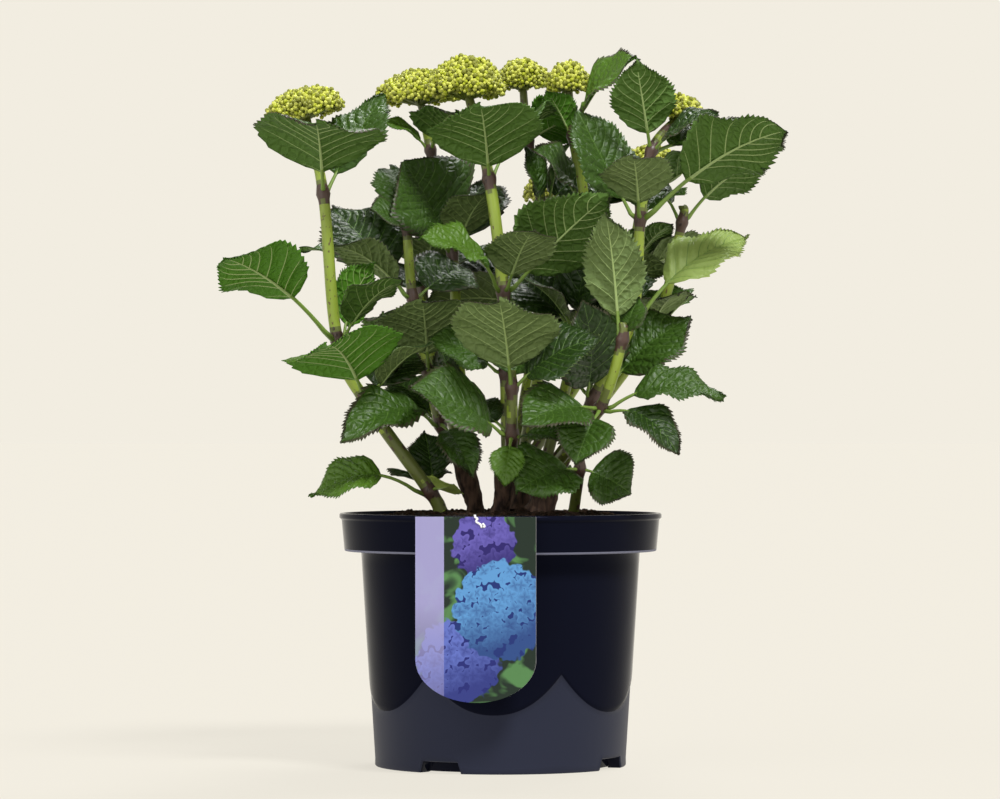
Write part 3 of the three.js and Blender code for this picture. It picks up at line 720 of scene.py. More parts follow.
def seat(obj, slot_name, *nodes):
    """Fixes a finished piece to the plant's only body and hides the solids it stands for.

    A tooth or a bud that would reach past the box of all the solids is drawn back into it."""
    places = np.empty(len(obj.data.vertices) * 3, np.float32)
    obj.data.vertices.foreach_get("co", places)
    kept = np.clip(places.reshape(-1, 3), KEPT_LOW, KEPT_HIGH)
    obj.data.vertices.foreach_set("co", kept.astype(np.float32).reshape(-1))
    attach(obj, "root")
    if nodes:
        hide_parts(*nodes)
    print(obj.name, "has", sum(len(face.vertices) - 2 for face in obj.data.polygons), "triangles")


print("collector ready")

# %% [markdown]
# A blade has seven pairs of side veins, which leave the midrib and bend forward to the teeth. So
# the rows of the grid bend forward as well, and the teeth are its edge points, one out and one
# in by turns. Between the veins the blade swells, its edge waves, and the two halves rise from
# the midrib. The veins are thin ribs of their own, flush above and proud below, as on the plant.

# %% Leaf blades
BLADE = {
    "rows": 56, "sweep": 0.95, "bend": 1.04, "thickness": 0.5, "fold": 0.38, "flatten": 0.35,
    "swell": 2.8, "wave": 3.4, "twist": 0.5, "tooth": 2.7, "base_wedge": 0.08, "tip_narrowing": 0.6,
}
VEINS = {
    "pairs": 7, "first": 0.04, "step": 0.118, "uneven": 0.22,
    "steps": 7, "width": 0.44, "reach": 0.93, "proud": 0.55, "narrowest": 0.45, "tip": 0.05,
}
ACROSS = np.array([1, 0.88, 0.7, 0.48, 0.26, 0.07])
ACROSS = np.concatenate([-ACROSS, [0], ACROSS[::-1]])
BLADE_ENDS = (0.004, 0.99)
TEETH_LEAN = 0.8
FULL_LENGTH = 110
# How far apart leaves lie on their shared map at most, so that no two have the same net.
MAP_SHIFT = 200
# How finely a vein's start is looked for, and how far ahead its direction across is taken.
SEARCHED_ROWS, STEP_AHEAD = 200, 0.01
# How many rings the stalk has, where its next ones stand on the blade, and the half width and half
# height of each.
STALK_RINGS = 6
MIDRIB_RINGS = np.array([0.06, 0.15, 0.27, 0.4, 0.55, 0.7, 0.84, 0.95])
STALK_WIDTHS = [2.3, 1.9, 1.6, 1.45, 1.4, 1.4, 1.3, 1.15, 1.0, 0.85, 0.7, 0.55, 0.42, 0.3]
STALK_HEIGHTS = [2.0, 1.7, 1.5, 1.35, 1.3, 1.2, 1.05, 0.95, 0.85, 0.75, 0.62, 0.5, 0.4, 0.3]
STALK_IN_SHOOT = 2.2
SINKING_SHARE = 0.06
MIDRIB_PROUD = 0.16


def vein_phase(leaf_at, row, across):
    """A whole number on each side vein, counted from the stalk. The veins aren't evenly spaced."""
    shift = np.sin(2 * np.pi * (1.6 * row + leaf_at["luck"] + 0.25 * np.sign(across)))
    return (row - VEINS["first"]) / VEINS["step"] + VEINS["uneven"] * shift


def blade_surface(leaf_at, row, across):
    """Points of the upper face, its upward directions and its map, for rows 0..1 and across -1..1."""
    out = np.abs(across)
    luck, size = leaf_at["luck"], leaf_at["size"]
    edge_share = row + BLADE["sweep"] * row ** 0.6 * (1 - row)
    share = row + (edge_share - row) * out ** BLADE["bend"]
    place, upper = midrib(leaf_at, on_blade(leaf_at, share))
    width = outline(share) ** (1 + BLADE["tip_narrowing"] * share ** 6)
    width = width * (1 - BLADE["base_wedge"] * np.clip(1 - share / 0.3, 0, 1))
    aside = across * 0.5 * leaf_at["wide"] * width
    swell = 0.5 - 0.5 * np.cos(2 * np.pi * np.clip(vein_phase(leaf_at, row, across), 0, VEINS["pairs"]))
    fold = BLADE["fold"] * (0.75 + 0.5 * luck) * (1 - 0.65 * share)
    waves = np.sin(2 * np.pi * ((1.7 + luck) * share + 3 * luck + 0.31 * np.sign(across)))
    lift = (fold * np.abs(aside) * (1 - BLADE["flatten"] * out ** 2)
            + BLADE["twist"] * (luck - 0.5) * share * aside
            + BLADE["swell"] * size * swell * np.sin(np.pi * out) ** 0.7 * (1 - row)
            + BLADE["wave"] * size * waves * out ** 2 * np.clip(4 * share, 0, 1))
    points = place + leaf_at["side"] * aside[..., None] + upper * lift[..., None]
    blade_map = np.stack([aside + MAP_SHIFT * luck, share * leaf_at["length"]], axis=-1)
    return points, upper, blade_map


def add_blade(shape, leaf_at):
    rows = np.linspace(*BLADE_ENDS, BLADE["rows"])[:, None]
    row, across = np.broadcast_arrays(rows, ACROSS[None])
    points, upper, blade_map = blade_surface(leaf_at, row, across)
    ahead = unit(np.gradient(points, axis=0))
    number = np.arange(BLADE["rows"])
    fade = np.sin(np.pi * np.clip(number / BLADE["rows"], 0.04, 0.96)) ** 0.5
    for column, sign in ((0, -1), (-1, 1)):
        uneven = 1 + 0.35 * np.sin(number * 2.3 + 9 * leaf_at["luck"] + sign)
        out_and_in = np.where(number % 2 == 1, 0.9, -0.6) * uneven * fade
        tooth = BLADE["tooth"] * (0.4 + 0.6 * leaf_at["size"]) * out_and_in[:, None]
        points[:, column] += leaf_at["side"] * sign * tooth + ahead[:, column] * tooth * TEETH_LEAN
    upper_slots = np.full((BLADE["rows"] - 1, len(ACROSS) - 1), SLOT_UPPER + leaf_at["tone"])
    under = edge = SLOT_UNDER + leaf_at["under"]
    if leaf_at["dark_teeth"]:
        upper_slots[1::2, (0, -1)] = edge = SLOT_TOOTH
    shape.slab(points, points - upper * BLADE["thickness"], (upper_slots, under, edge), blade_map)


def add_veins(shape, leaf_at):
    out = np.linspace(0.0, VEINS["reach"], VEINS["steps"])
    taper = np.linspace(1, VEINS["narrowest"], VEINS["steps"]) * leaf_at["size"]
    taper[-1] = VEINS["tip"]
    below = -(BLADE["thickness"] + VEINS["proud"] * taper)
    lower = -BLADE["thickness"]
    section = [(-1, 0.0), (0, 0.13), (1, 0.0), (1.3, lower), (0, below), (-1.3, lower)]
    slots = np.array([SLOT_VEIN_UPPER] * 2 + [SLOT_VEIN_UNDER] * 4)[None]
    rows = np.linspace(0, 1, SEARCHED_ROWS)
    for sign in (-1, 1):
        starts = np.interp(np.arange(VEINS["pairs"]), vein_phase(leaf_at, rows, sign), rows)
        for start in starts:
            along = np.full(VEINS["steps"], start)
            points, upper, _ = blade_surface(leaf_at, along, sign * out)
            ahead, _, _ = blade_surface(leaf_at, along + STEP_AHEAD, sign * out)
            beside = unit(ahead - points) * (VEINS["width"] * taper)[:, None]
            ring = [points + beside * aside + upper * np.broadcast_to(depth, taper.shape)[:, None]
                    for aside, depth in section]
            shape.grid(np.stack(ring, axis=1), slots, wrap=True, flip=sign < 0)


def add_stalk(shape, leaf_at):
    """The stalk runs on as the midrib, sunk in the blade to just above its upper face."""
    stalk = leaf_at["stalk"]
    share = np.concatenate([np.linspace(0, stalk, STALK_RINGS), on_blade(leaf_at, MIDRIB_RINGS)])
    place, upper = midrib(leaf_at, share)
    place[0] -= leaf_at["outward"] * STALK_IN_SHOOT
    sizes = np.stack([STALK_WIDTHS, STALK_HEIGHTS], axis=-1) * (0.55 + 0.45 * leaf_at["size"])
    sink = np.clip((share - stalk) / SINKING_SHARE, 0, 1) * (sizes[:, 1] - MIDRIB_PROUD)
    across = np.broadcast_to(leaf_at["side"], place.shape)
    slots = np.full((len(share) - 1, 8), SLOT_STALK)
    slots[STALK_RINGS:, :4] = SLOT_VEIN_UPPER
    slots[STALK_RINGS:, 4:] = SLOT_VEIN_UNDER
    shape.tube(place - upper * sink[:, None], across, upper, sizes, slots)


TONE_SEED = 5
# The share of dark leaves at one height. It falls by a whole one over so many millimetres.
DARK_SHARE, DARK_HEIGHT, DARK_FADE = 0.75, 250, 500
DARK_TEETH_SHARE = 0.6


def deal_tones():
    """Listed leaves have their tone from the plan; the others are dark more often the lower their
    knot, as painted shade and as the darker green of old leaves.
    """
    draws = seeded(TONE_SEED)
    for leaf_at in LEAVES:
        luck = next(draws)
        dark = DARK_SHARE - (leaf_at["mass"]["middle"][2] - DARK_HEIGHT) / DARK_FADE
        tone = leaf_at["looks"].get("tone", 0 if luck < dark else 1)
        leaf_at.update(luck=luck, tone=tone, under=leaf_at["looks"].get("under", tone),
                       dark_teeth=next(draws) < DARK_TEETH_SHARE, size=leaf_at["length"] / FULL_LENGTH)


deal_tones()
GROUPS = {
    "leaves_of_the_left": ("left", "inner", "centre_left"),
    "leaves_of_the_middle": ("centre", "front", "centre_right", "low_right"),
    "leaves_of_the_right": ("right", "outer", "right_front"),
    "leaves_of_the_back": ("back", "back_left", "back_middle", "back_right"),
}
for group_name, shoots in GROUPS.items():
    leaves_shape = Shape()
    for leaf_at in LEAVES:
        if leaf_at["mass"]["shoot"] in shoots:
            add_blade(leaves_shape, leaf_at)
            add_veins(leaves_shape, leaf_at)
            add_stalk(leaves_shape, leaf_at)
    stood_for = [mass["node"] for mass in MASSES if mass["shoot"] in shoots]
    seat(leaves_shape.piece(group_name, LEAF_FINISHES), "leaves", *stood_for)

# %% [markdown]
# The young shoots are smooth and bright green, swollen where leaves stand and stained purple
# brown there; the old stems are woody, with cracked bark. Both are one rule: a ring drawn along a
# curve, wider or narrower as it goes, with relief pushed out along its normals. That is a job for
# Geometry Nodes, with the curves as its input and each point's radius as an attribute.

# %% Finishes of shoots and bark


def shoot_finish(name, colour, speck_colour):
    """Smooth green skin with small brown corky specks, about a millimetre across."""
    return mottled(finish(name, colour, 0.4, Specular_IOR_Level=0.5), (colour, speck_colour),
                   2.2, 1.0, (0.66, 0.70), 0.15, stretch=0.55, crisp=True)


GREEN_SKIN = shoot_finish("young shoot, bright green skin", "#8b9f38", "#655631")
RIPENING_SKIN = shoot_finish("young shoot, olive where it turns to wood", "#616b30", "#3d3526")
STAINED_SKIN = shoot_finish("young shoot, purple brown at its joints", "#4c3830", "#302220")
# Old hydrangea bark splits into thin grey brown flakes along the stem, a few millimetres wide.
BARK = mottled(finish("bark of old hydrangea wood", "#3d2c25", 0.85, Specular_IOR_Level=0.3),
               ("#221712", "#5d483c"), 3.0, 5.0, (0.35, 0.65), 0.8, stretch=0.25)
print("four finishes for shoots and bark")

# %% Limbs by Geometry Nodes


def new_tree(name, sockets):
    """A geometry tree with a geometry in and out, and named inputs of the given kinds."""
    tree = bpy.data.node_groups.new(name, "GeometryNodeTree")
    for socket, kind in {"Geometry": "Geometry", **sockets}.items():
        tree.interface.new_socket(socket, in_out="INPUT", socket_type="NodeSocket" + kind)
    tree.interface.new_socket("Geometry", in_out="OUTPUT", socket_type="NodeSocketGeometry")
    return tree, tree.nodes.new("NodeGroupInput").outputs


def above(tree, value, least):
    return add(tree, "FunctionNodeCompare", value, least, operation="GREATER_THAN")


def limb_tree():
    tree, given = new_tree("Tapering limb", {
        "Sides": "Int", "Relief": "Float", "Relief size": "Float",
        "Skin": "Material", "Ripening skin": "Material", "Joint skin": "Material",
    })
    line = add(tree, "GeometryNodeMeshToCurve", given["Geometry"])
    ring = add(tree, "GeometryNodeCurvePrimitiveCircle", Resolution=given["Sides"], Radius=1.0)
    radius = add(tree, "GeometryNodeInputNamedAttribute", Name="radius")
    limb = add(tree, "GeometryNodeCurveToMesh", Curve=line, Profile_Curve=ring, Scale=radius,
               Fill_Caps=True)
    place = add(tree, "GeometryNodeInputPosition")
    squeezed = vector_math(tree, "MULTIPLY", place, (1.0, 1.0, 0.3))
    lumps = add(tree, "ShaderNodeTexNoise", Vector=squeezed, Scale=given["Relief size"], Detail=3.0)
    centred = arithmetic(tree, "SUBTRACT", lumps, 0.5)
    depth = arithmetic(tree, "MULTIPLY", centred, given["Relief"])
    push = vector_math(tree, "SCALE", add(tree, "GeometryNodeInputNormal"), Scale=depth)
    rough = add(tree, "GeometryNodeSetPosition", limb, Offset=push)
    smooth = add(tree, "GeometryNodeSetShadeSmooth", rough)
    real = add(tree, "GeometryNodeRealizeInstances", smooth)
    skinned = add(tree, "GeometryNodeSetMaterial", real, Material=given["Skin"])
    joint = add(tree, "GeometryNodeInputNamedAttribute", Name="joint")
    stained = arithmetic(tree, "ADD", joint, centred)
    for skin, stain in (("Ripening skin", 0.34), ("Joint skin", 0.6)):
        skinned = add(tree, "GeometryNodeSetMaterial", skinned,
                      Selection=above(tree, stained, stain), Material=given[skin])
    add(tree, "NodeGroupOutput", skinned)
    return tree


def run_tree(obj, tree, values):
    """Runs the tree on the object, with its inputs set by identifier, and keeps a plain mesh."""
    modifier = obj.modifiers.new(tree.name, "NODES")
    modifier.node_group = tree
    for item in tree.interface.items_tree:
        if item.in_out == "INPUT" and item.name in values:
            modifier[item.identifier] = values[item.name]
    graph = bpy.context.evaluated_depsgraph_get()
    mesh = bpy.data.meshes.new_from_object(obj.evaluated_get(graph))
    obj.modifiers.remove(modifier)
    obj.data = mesh
    mesh.name = obj.name
    return obj


def lines_piece(name, lines):
    """Edges along each line of points, with a radius and a stain at each point."""
    points, edges, radii, joints = [], [], [], []
    for places, radius, joint in lines:
        first = len(points)
        points.extend(places * MM)
        edges.extend((first + i, first + i + 1) for i in range(len(places) - 1))
        radii.extend(radius * MM)
        joints.extend(joint)
    mesh = bpy.data.meshes.new(name)
    mesh.from_pydata(points, edges, [])
    for attribute, values in (("radius", radii), ("joint", joints)):
        layer = mesh.attributes.new(attribute, "FLOAT", "POINT")
        layer.data.foreach_set("value", np.array(values, np.float32))
    return new_object(name, mesh)


STEP_MM = 2.6
SWELLING = {"height": 1.3, "length": 3.4}
STAIN_LENGTH = 9.0
NARROW_NECK = 0.8
# How stained the last span is, from its knot up to the head, by the share of it that is left.
NECK_SPAN_LEFT, NECK_STAINS = np.array([0.9, 0.5, 0]), [0, 0.62, 0.4]
WOODY_HEIGHTS, WOODY_STAINS = [235.0, 300.0], [0.5, 0]
STEM_FOOT_IN_SOIL = 2
STEM_RINGS = 40
# A stem has its low radius above its foot, where it is wider, and it narrows towards its fork.
STEM_SHARES = [0, 0.12, 0.85, 1]
FOOT_WIDENS, NEAR_FORK, AT_FORK = 1.18, 0.93, 0.8
SWAY_MM, SWAY_TURN = 0.8, 7


def shoot_line(shoot):
    """Points, radius and stain along a shoot, from its foot to under its head."""
    route = route_of(shoot)
    spans = len(shoot["knots"]) + 1
    rough_length = sum(np.linalg.norm(b - a) for a, b in zip(route, route[1:]))
    share = np.linspace(0, 1, int(rough_length / STEP_MM))
    places = np.array([curve_point(route, s) for s in share])
    along = np.concatenate([[0], np.cumsum(np.linalg.norm(np.diff(places, axis=0), axis=1))])
    narrowing = np.interp(share, [0, 1 - 1 / spans, 1], [1, 1, NARROW_NECK])
    radius = np.interp(share, [0, 1], shoot["radius"]) * narrowing
    joint = np.interp(share, 1 - NECK_SPAN_LEFT / spans, NECK_STAINS)
    joint = np.maximum(joint, np.interp(places[:, 2], WOODY_HEIGHTS, WOODY_STAINS))
    for index in range(spans - 1):
        gap = np.abs(along - np.interp((index + 1) / spans, share, along))
        radius += SWELLING["height"] * np.exp(-(gap / SWELLING["length"]) ** 2)
        joint = np.maximum(joint, np.exp(-(gap / STAIN_LENGTH) ** 2))
    return places, radius, joint


def stem_line(stem):
    foot = np.array([*stem["foot"], SOIL_TOP - STEM_FOOT_IN_SOIL])
    fork = np.array(stem["fork"], float)
    share = np.linspace(0, 1, STEM_RINGS)
    places = foot + (fork - foot) * share[:, None]
    places[:, 0] += SWAY_MM * np.sin(share * SWAY_TURN)
    low, high = stem["radius"]
    radius = np.interp(share, STEM_SHARES, [low * FOOT_WIDENS, low, high * NEAR_FORK, high * AT_FORK])
    return places, radius, np.zeros(len(share))


LIMB = limb_tree()
shoots_piece = run_tree(lines_piece("green_shoots", [shoot_line(s) for s in SHOOTS.values()]), LIMB, {
    "Sides": 14, "Relief": 0.5 * MM, "Relief size": 160.0, "Skin": GREEN_SKIN,
    "Ripening skin": RIPENING_SKIN, "Joint skin": STAINED_SKIN})
long_shoots = [f"shoot_{name}" for name, s in SHOOTS.items() if not s.get("short")]
seat(shoots_piece, "green_shoot", *long_shoots)
stems_piece = run_tree(lines_piece("woody_stems", [stem_line(s) for s in STEMS.values()]), LIMB, {
    "Sides": 26, "Relief": 3.2 * MM, "Relief size": 260.0, "Skin": BARK,
    "Ripening skin": BARK, "Joint skin": BARK})
seat(stems_piece, "woody_stem", *STEMS)

# %% [markdown]
# A hydrangea head is a dome of many small clusters, each a handful of round buds on its own
# thread of stem. The clusters are spread by the golden angle, which leaves no rows and no holes,
# and Geometry Nodes set a cluster on every place, turned outwards and a little larger or smaller.

# %% Flower heads
BUD_MM = 1.55
BUDS_IN_A_CLUSTER = 7
BUD_TILT = 0.95
# The least thread of a bud and the least size of a bud, and how much luck adds.
BUD_THREAD, BUD_SIZE = (3.2, 0.8), (0.8, 0.35)
# Each bud draws one finish: yellow green, the pale one as a painted highlight, or the olive one as painted
# shade.
BUD_SLOTS = (0, 0, 1, 1, 2)
CLUSTER_SPACING_MM = 6.2
CLUSTER_REACH = 4.4
PACKING = 0.87
# In shares of a head's height: how far its clusters hang below its place, and its hub lies below.
DROOP, HUB_DEPTH = 0.5, 0.3
# How many main branches a head has, and how low they and its clusters reach on a round dome.
BRANCHES_OF_A_HEAD, LOWEST_BRANCH, LOWEST_CLUSTER = 30, -0.2, -0.25
# How far a branch reaches, in radians, how much it bulges, and how much clusters lean from it and up.
BRANCH_REACH, BRANCH_BULGE = 0.31, 0.2
LEAN_OUT, LEAN_UP = 0.7, 0.25
GOLDEN_ANGLE = math.pi * (3 - math.sqrt(5))
# Lit and shaded copies of one bud colour: the pale one is a painted highlight, the olive one painted shade.
BUD_FINISHES = [finish(name, colour, roughness, Specular_IOR_Level=0.4)[0] for name, colour, roughness in (
    ("flower bud, yellow green", "#b4bd31", 0.5),
    ("flower bud, pale tip", "#cdd15c", 0.5),
    ("flower bud, olive and still closed", "#8b8f38", 0.55),
    ("thread that carries the buds", "#7c8538", 0.5),
)]
SLOT_SHADED, SLOT_THREAD = 2, 3


def ball(shape, middle, radius, slot):
    """A round bud with a few dozen faces."""
    tilt = np.linspace(0.02, np.pi - 0.02, 5)[:, None]
    turn = np.linspace(0, 2 * np.pi, 6, endpoint=False)
    shape.grid(middle + radius * around(turn, np.sin(tilt), np.cos(tilt)), slot, wrap=True)


def thread(shape, line, across, upper, radii, sides):
    """A round thread on a straight or bent line, in the two directions across it."""
    count = len(line)
    sizes = np.stack([radii, radii], axis=-1)
    shape.tube(line, np.stack([across] * count), np.stack([upper] * count), sizes, SLOT_THREAD, sides)


def cluster_of_buds(name, seed):
    """Buds on short threads, one in the middle and the others around, growing up from the origin."""
    draws = seeded(seed)
    shape = Shape()
    for number in range(BUDS_IN_A_CLUSTER):
        tilt = 0.0 if number == 0 else BUD_TILT
        turn = number * 2 * math.pi / (BUDS_IN_A_CLUSTER - 1) + next(draws) * 0.5
        out = around(turn, math.sin(tilt), math.cos(tilt))
        middle = out * (BUD_THREAD[0] + next(draws) * BUD_THREAD[1])
        slot = BUD_SLOTS[int(next(draws) * len(BUD_SLOTS))]
        ball(shape, middle, BUD_MM * (BUD_SIZE[0] + BUD_SIZE[1] * next(draws)), slot)
        side = unit(np.cross(out, [0.3, 1.0, 0.2]))
        thread(shape, np.stack([0 * middle, middle]), side, np.cross(out, side), [0.4, 0.4], 3)
    cluster = shape.piece(name, BUD_FINISHES)
    cluster.hide_render = True
    return cluster


def spiral(number, count, lowest):
    """The direction of one of so many places spread over a dome, from its top down to a height."""
    up = 1 - (number + 0.5) / count * (1 - lowest)
    return around(number * GOLDEN_ANGLE, math.sqrt(1 - up * up), up)


def head_places(flower_head, draws):
    """Places and outward directions of the clusters on a head's dome, tipped as the head is.

    Each main branch of a head bulges out, and the dome sinks in between two of them."""
    radius, height = flower_head["radius"], flower_head["height"]
    dome_area = 2 * math.pi * radius * (0.55 * radius + 0.45 * height)
    count = int(dome_area / (PACKING * CLUSTER_SPACING_MM ** 2))
    turn = 360 * next(draws)
    branches = [turned_about(spiral(number, BRANCHES_OF_A_HEAD, LOWEST_BRANCH), UP, turn)
                for number in range(BRANCHES_OF_A_HEAD)]
    for number in range(count):
        out = spiral(number, count, LOWEST_CLUSTER)
        nearest_branch = max(branches, key=lambda branch: float(branch @ out))
        from_branch = math.acos(min(1.0, float(nearest_branch @ out))) / BRANCH_REACH
        bulge = 1.0 - BRANCH_BULGE * min(1.0, from_branch) ** 2
        depth = height if out[2] > 0 else DROOP * height
        reach = np.array([radius, radius, depth]) - CLUSTER_REACH
        place = out * reach * bulge * (0.95 + 0.08 * next(draws))
        out = unit(out + LEAN_OUT * (out - nearest_branch) + LEAN_UP * UP)
        tipped = [turned_about(v, FRONT, flower_head["tip_up"]) for v in (place, out)]
        yield flower_head["place"] + tipped[0], tipped[1]


def random_number(tree, least, most, seed):
    node = add(tree, "FunctionNodeRandomValue", data_type="FLOAT", Min=least, Max=most, Seed=seed)
    return node.outputs[1]


def set_on_points(tree, points, thing, rotation, scale):
    placed = add(tree, "GeometryNodeInstanceOnPoints", points, Instance=thing,
                 Rotation=rotation, Scale=scale)
    return add(tree, "GeometryNodeRealizeInstances", placed)


def heads_tree():
    tree, given = new_tree("Clusters of buds on a dome", {
        "Cluster": "Object", "Smallest": "Float", "Largest": "Float", "Seed": "Int",
        "Shaded bud": "Material",
    })
    cluster = add(tree, "GeometryNodeObjectInfo", given["Cluster"]).outputs["Geometry"]
    out = add(tree, "GeometryNodeInputNamedAttribute", data_type="FLOAT_VECTOR", Name="outward")
    turned = add(tree, "FunctionNodeAlignRotationToVector", axis="Z", Vector=out)
    spin = random_number(tree, 0.0, 6.28, given["Seed"])
    spin_turn = add(tree, "FunctionNodeAxisAngleToRotation", Axis=(0.0, 0.0, 1.0), Angle=spin)
    rotation = add(tree, "FunctionNodeRotateRotation", turned, spin_turn, rotation_space="LOCAL")
    size = random_number(tree, given["Smallest"], given["Largest"], given["Seed"])
    points = add(tree, "GeometryNodeMeshToPoints", given["Geometry"])
    clusters = set_on_points(tree, points, cluster, rotation, size)
    # Where the noise is high, clusters take the olive bud finish: painted shade in patches over the heads.
    place = add(tree, "GeometryNodeInputPosition")
    spots = add(tree, "ShaderNodeTexNoise", Vector=place, Scale=110.0, Detail=0.0)
    done = add(tree, "GeometryNodeSetMaterial", clusters, Selection=above(tree, spots, 0.66),
               Material=given["Shaded bud"])
    add(tree, "NodeGroupOutput", done)
    return tree


def heads_piece(name, shoots, cluster, tree, seed):
    draws = seeded(seed)
    places, outwards = [], []
    rays = Shape()
    for shoot_name in shoots:
        flower_head = SHOOTS[shoot_name]["head"]
        hub = flower_head["place"] - HUB_DEPTH * flower_head["height"] * UP
        for place, out in head_places(flower_head, draws):
            places.append(place)
            outwards.append(out)
            line = np.stack([hub, hub + 0.5 * (place - hub) + out * -1.5, place])
            side = unit(np.cross(place - hub, [0.31, 0.17, 0.9]))
            thread(rays, line, side, unit(np.cross(side, place - hub)), [0.9, 0.65, 0.5], 5)
    mesh = bpy.data.meshes.new(name)
    mesh.from_pydata(np.array(places) * MM, [], [])
    attribute = mesh.attributes.new("outward", "FLOAT_VECTOR", "POINT")
    attribute.data.foreach_set("vector", np.array(outwards, np.float32).reshape(-1))
    heads = run_tree(new_object(name, mesh), tree, {
        "Cluster": cluster, "Smallest": 0.85, "Largest": 1.12, "Seed": seed,
        "Shaded bud": BUD_FINISHES[SLOT_SHADED]})
    return heads, rays


HEADS = {
    "flower_heads_of_the_left": ("left", "centre_left"),
    "flower_heads_of_the_right": ("centre", "centre_right", "right"),
    "flower_heads_behind": ("back", "back_left", "back_middle", "back_right"),
}
FIRST_HEAD_SEED = 11
BUD_CLUSTER = cluster_of_buds("bud_cluster", 3)
HEADS_TREE = heads_tree()
for number, (heads_name, shoots) in enumerate(HEADS.items()):
    heads, rays = heads_piece(heads_name, shoots, BUD_CLUSTER, HEADS_TREE, FIRST_HEAD_SEED + number)
    seat(heads, "leaves")
    seat(rays.piece("threads_of_" + heads_name, BUD_FINISHES), "leaves")
bpy.data.objects.remove(BUD_CLUSTER)

# %% [markdown]
# The pot is a nursery pot of injection moulded polypropylene: a stiff rim, a wall that leans in,
# and scallops near the foot, where the polished upper wall ends and the satin foot begins. It is
# turned like a lathe job, ring by ring, but the rings near the foot follow the scallops, so their
# edge is a real step and not a picture. The foot is cut away four times to let water out.

# %% The pot
POT = {
    "height": 180, "rim": 115, "lip": 4, "band_top": 113.5, "band_foot": 111.5, "band_height": 27,
    "neck": 99.5, "base": 90, "wall": 1.8, "floor": 9.5, "segments": 240,
}
SCALLOP = {"count": 6, "first_angle": -93, "lowest": 42, "cusp": 70, "step": 0.9, "edge": 0.8}
NOTCH = {"count": 4, "first_angle": -118.5, "width": 31, "height": 8, "depth": 10}
FOOT_RING_HEIGHT = 0.8
MIDDLE_RADIUS = 0.5
# Where the rings of the satin foot and of the glossy wall stand, in shares of their heights.
SATIN_SHARES, GLOSS_SHARES = np.linspace(0.08, 1, 10), np.linspace(0.03, 1, 14)
GLOSS, SATIN, PAINTED_HIGHLIGHT = 0, 1, 2
# The faces that reach these points of the profile take the pale grey finish: a painted highlight on the
# band's lower edge.
HIGHLIGHT_RINGS = (2, 3)


def pot_finish(name, colour, roughness, shine):
    """Polypropylene straight from the mould: faint long waves from shrinking, and fine scratches."""
    material, tree, shader = finish(name, colour, roughness, Specular_IOR_Level=shine,
                                    Specular_Tint=linear("#b2b8f4"))
    place = add(tree, "ShaderNodeTexCoord").outputs["Object"]
    waves, grain = noise(tree, place, 45, 1.0), noise(tree, place, 0.8, 2.0)
    relief(tree, shader, arithmetic(tree, "MULTIPLY_ADD", grain, 0.04, waves), 0.5)
    return material


POT_FINISHES = [
    pot_finish("black polypropylene, polished mould", "#0e101c", 0.1, 0.03),
    pot_finish("black polypropylene, satin foot", "#272a37", 0.45, 0.2),
    # The pale grey one paints a highlight along the lower edge of the band.
    pot_finish("black polypropylene, chalky where the rim is trimmed", "#74768a", 0.5, 0.2),
]


def from_nearest(degrees, pattern):
    """How far a turn is from the nearest of a pattern's even steps, and half such a step."""
    half = 180 / pattern["count"]
    return np.abs((degrees - pattern["first_angle"] + half) % (2 * half) - half), half


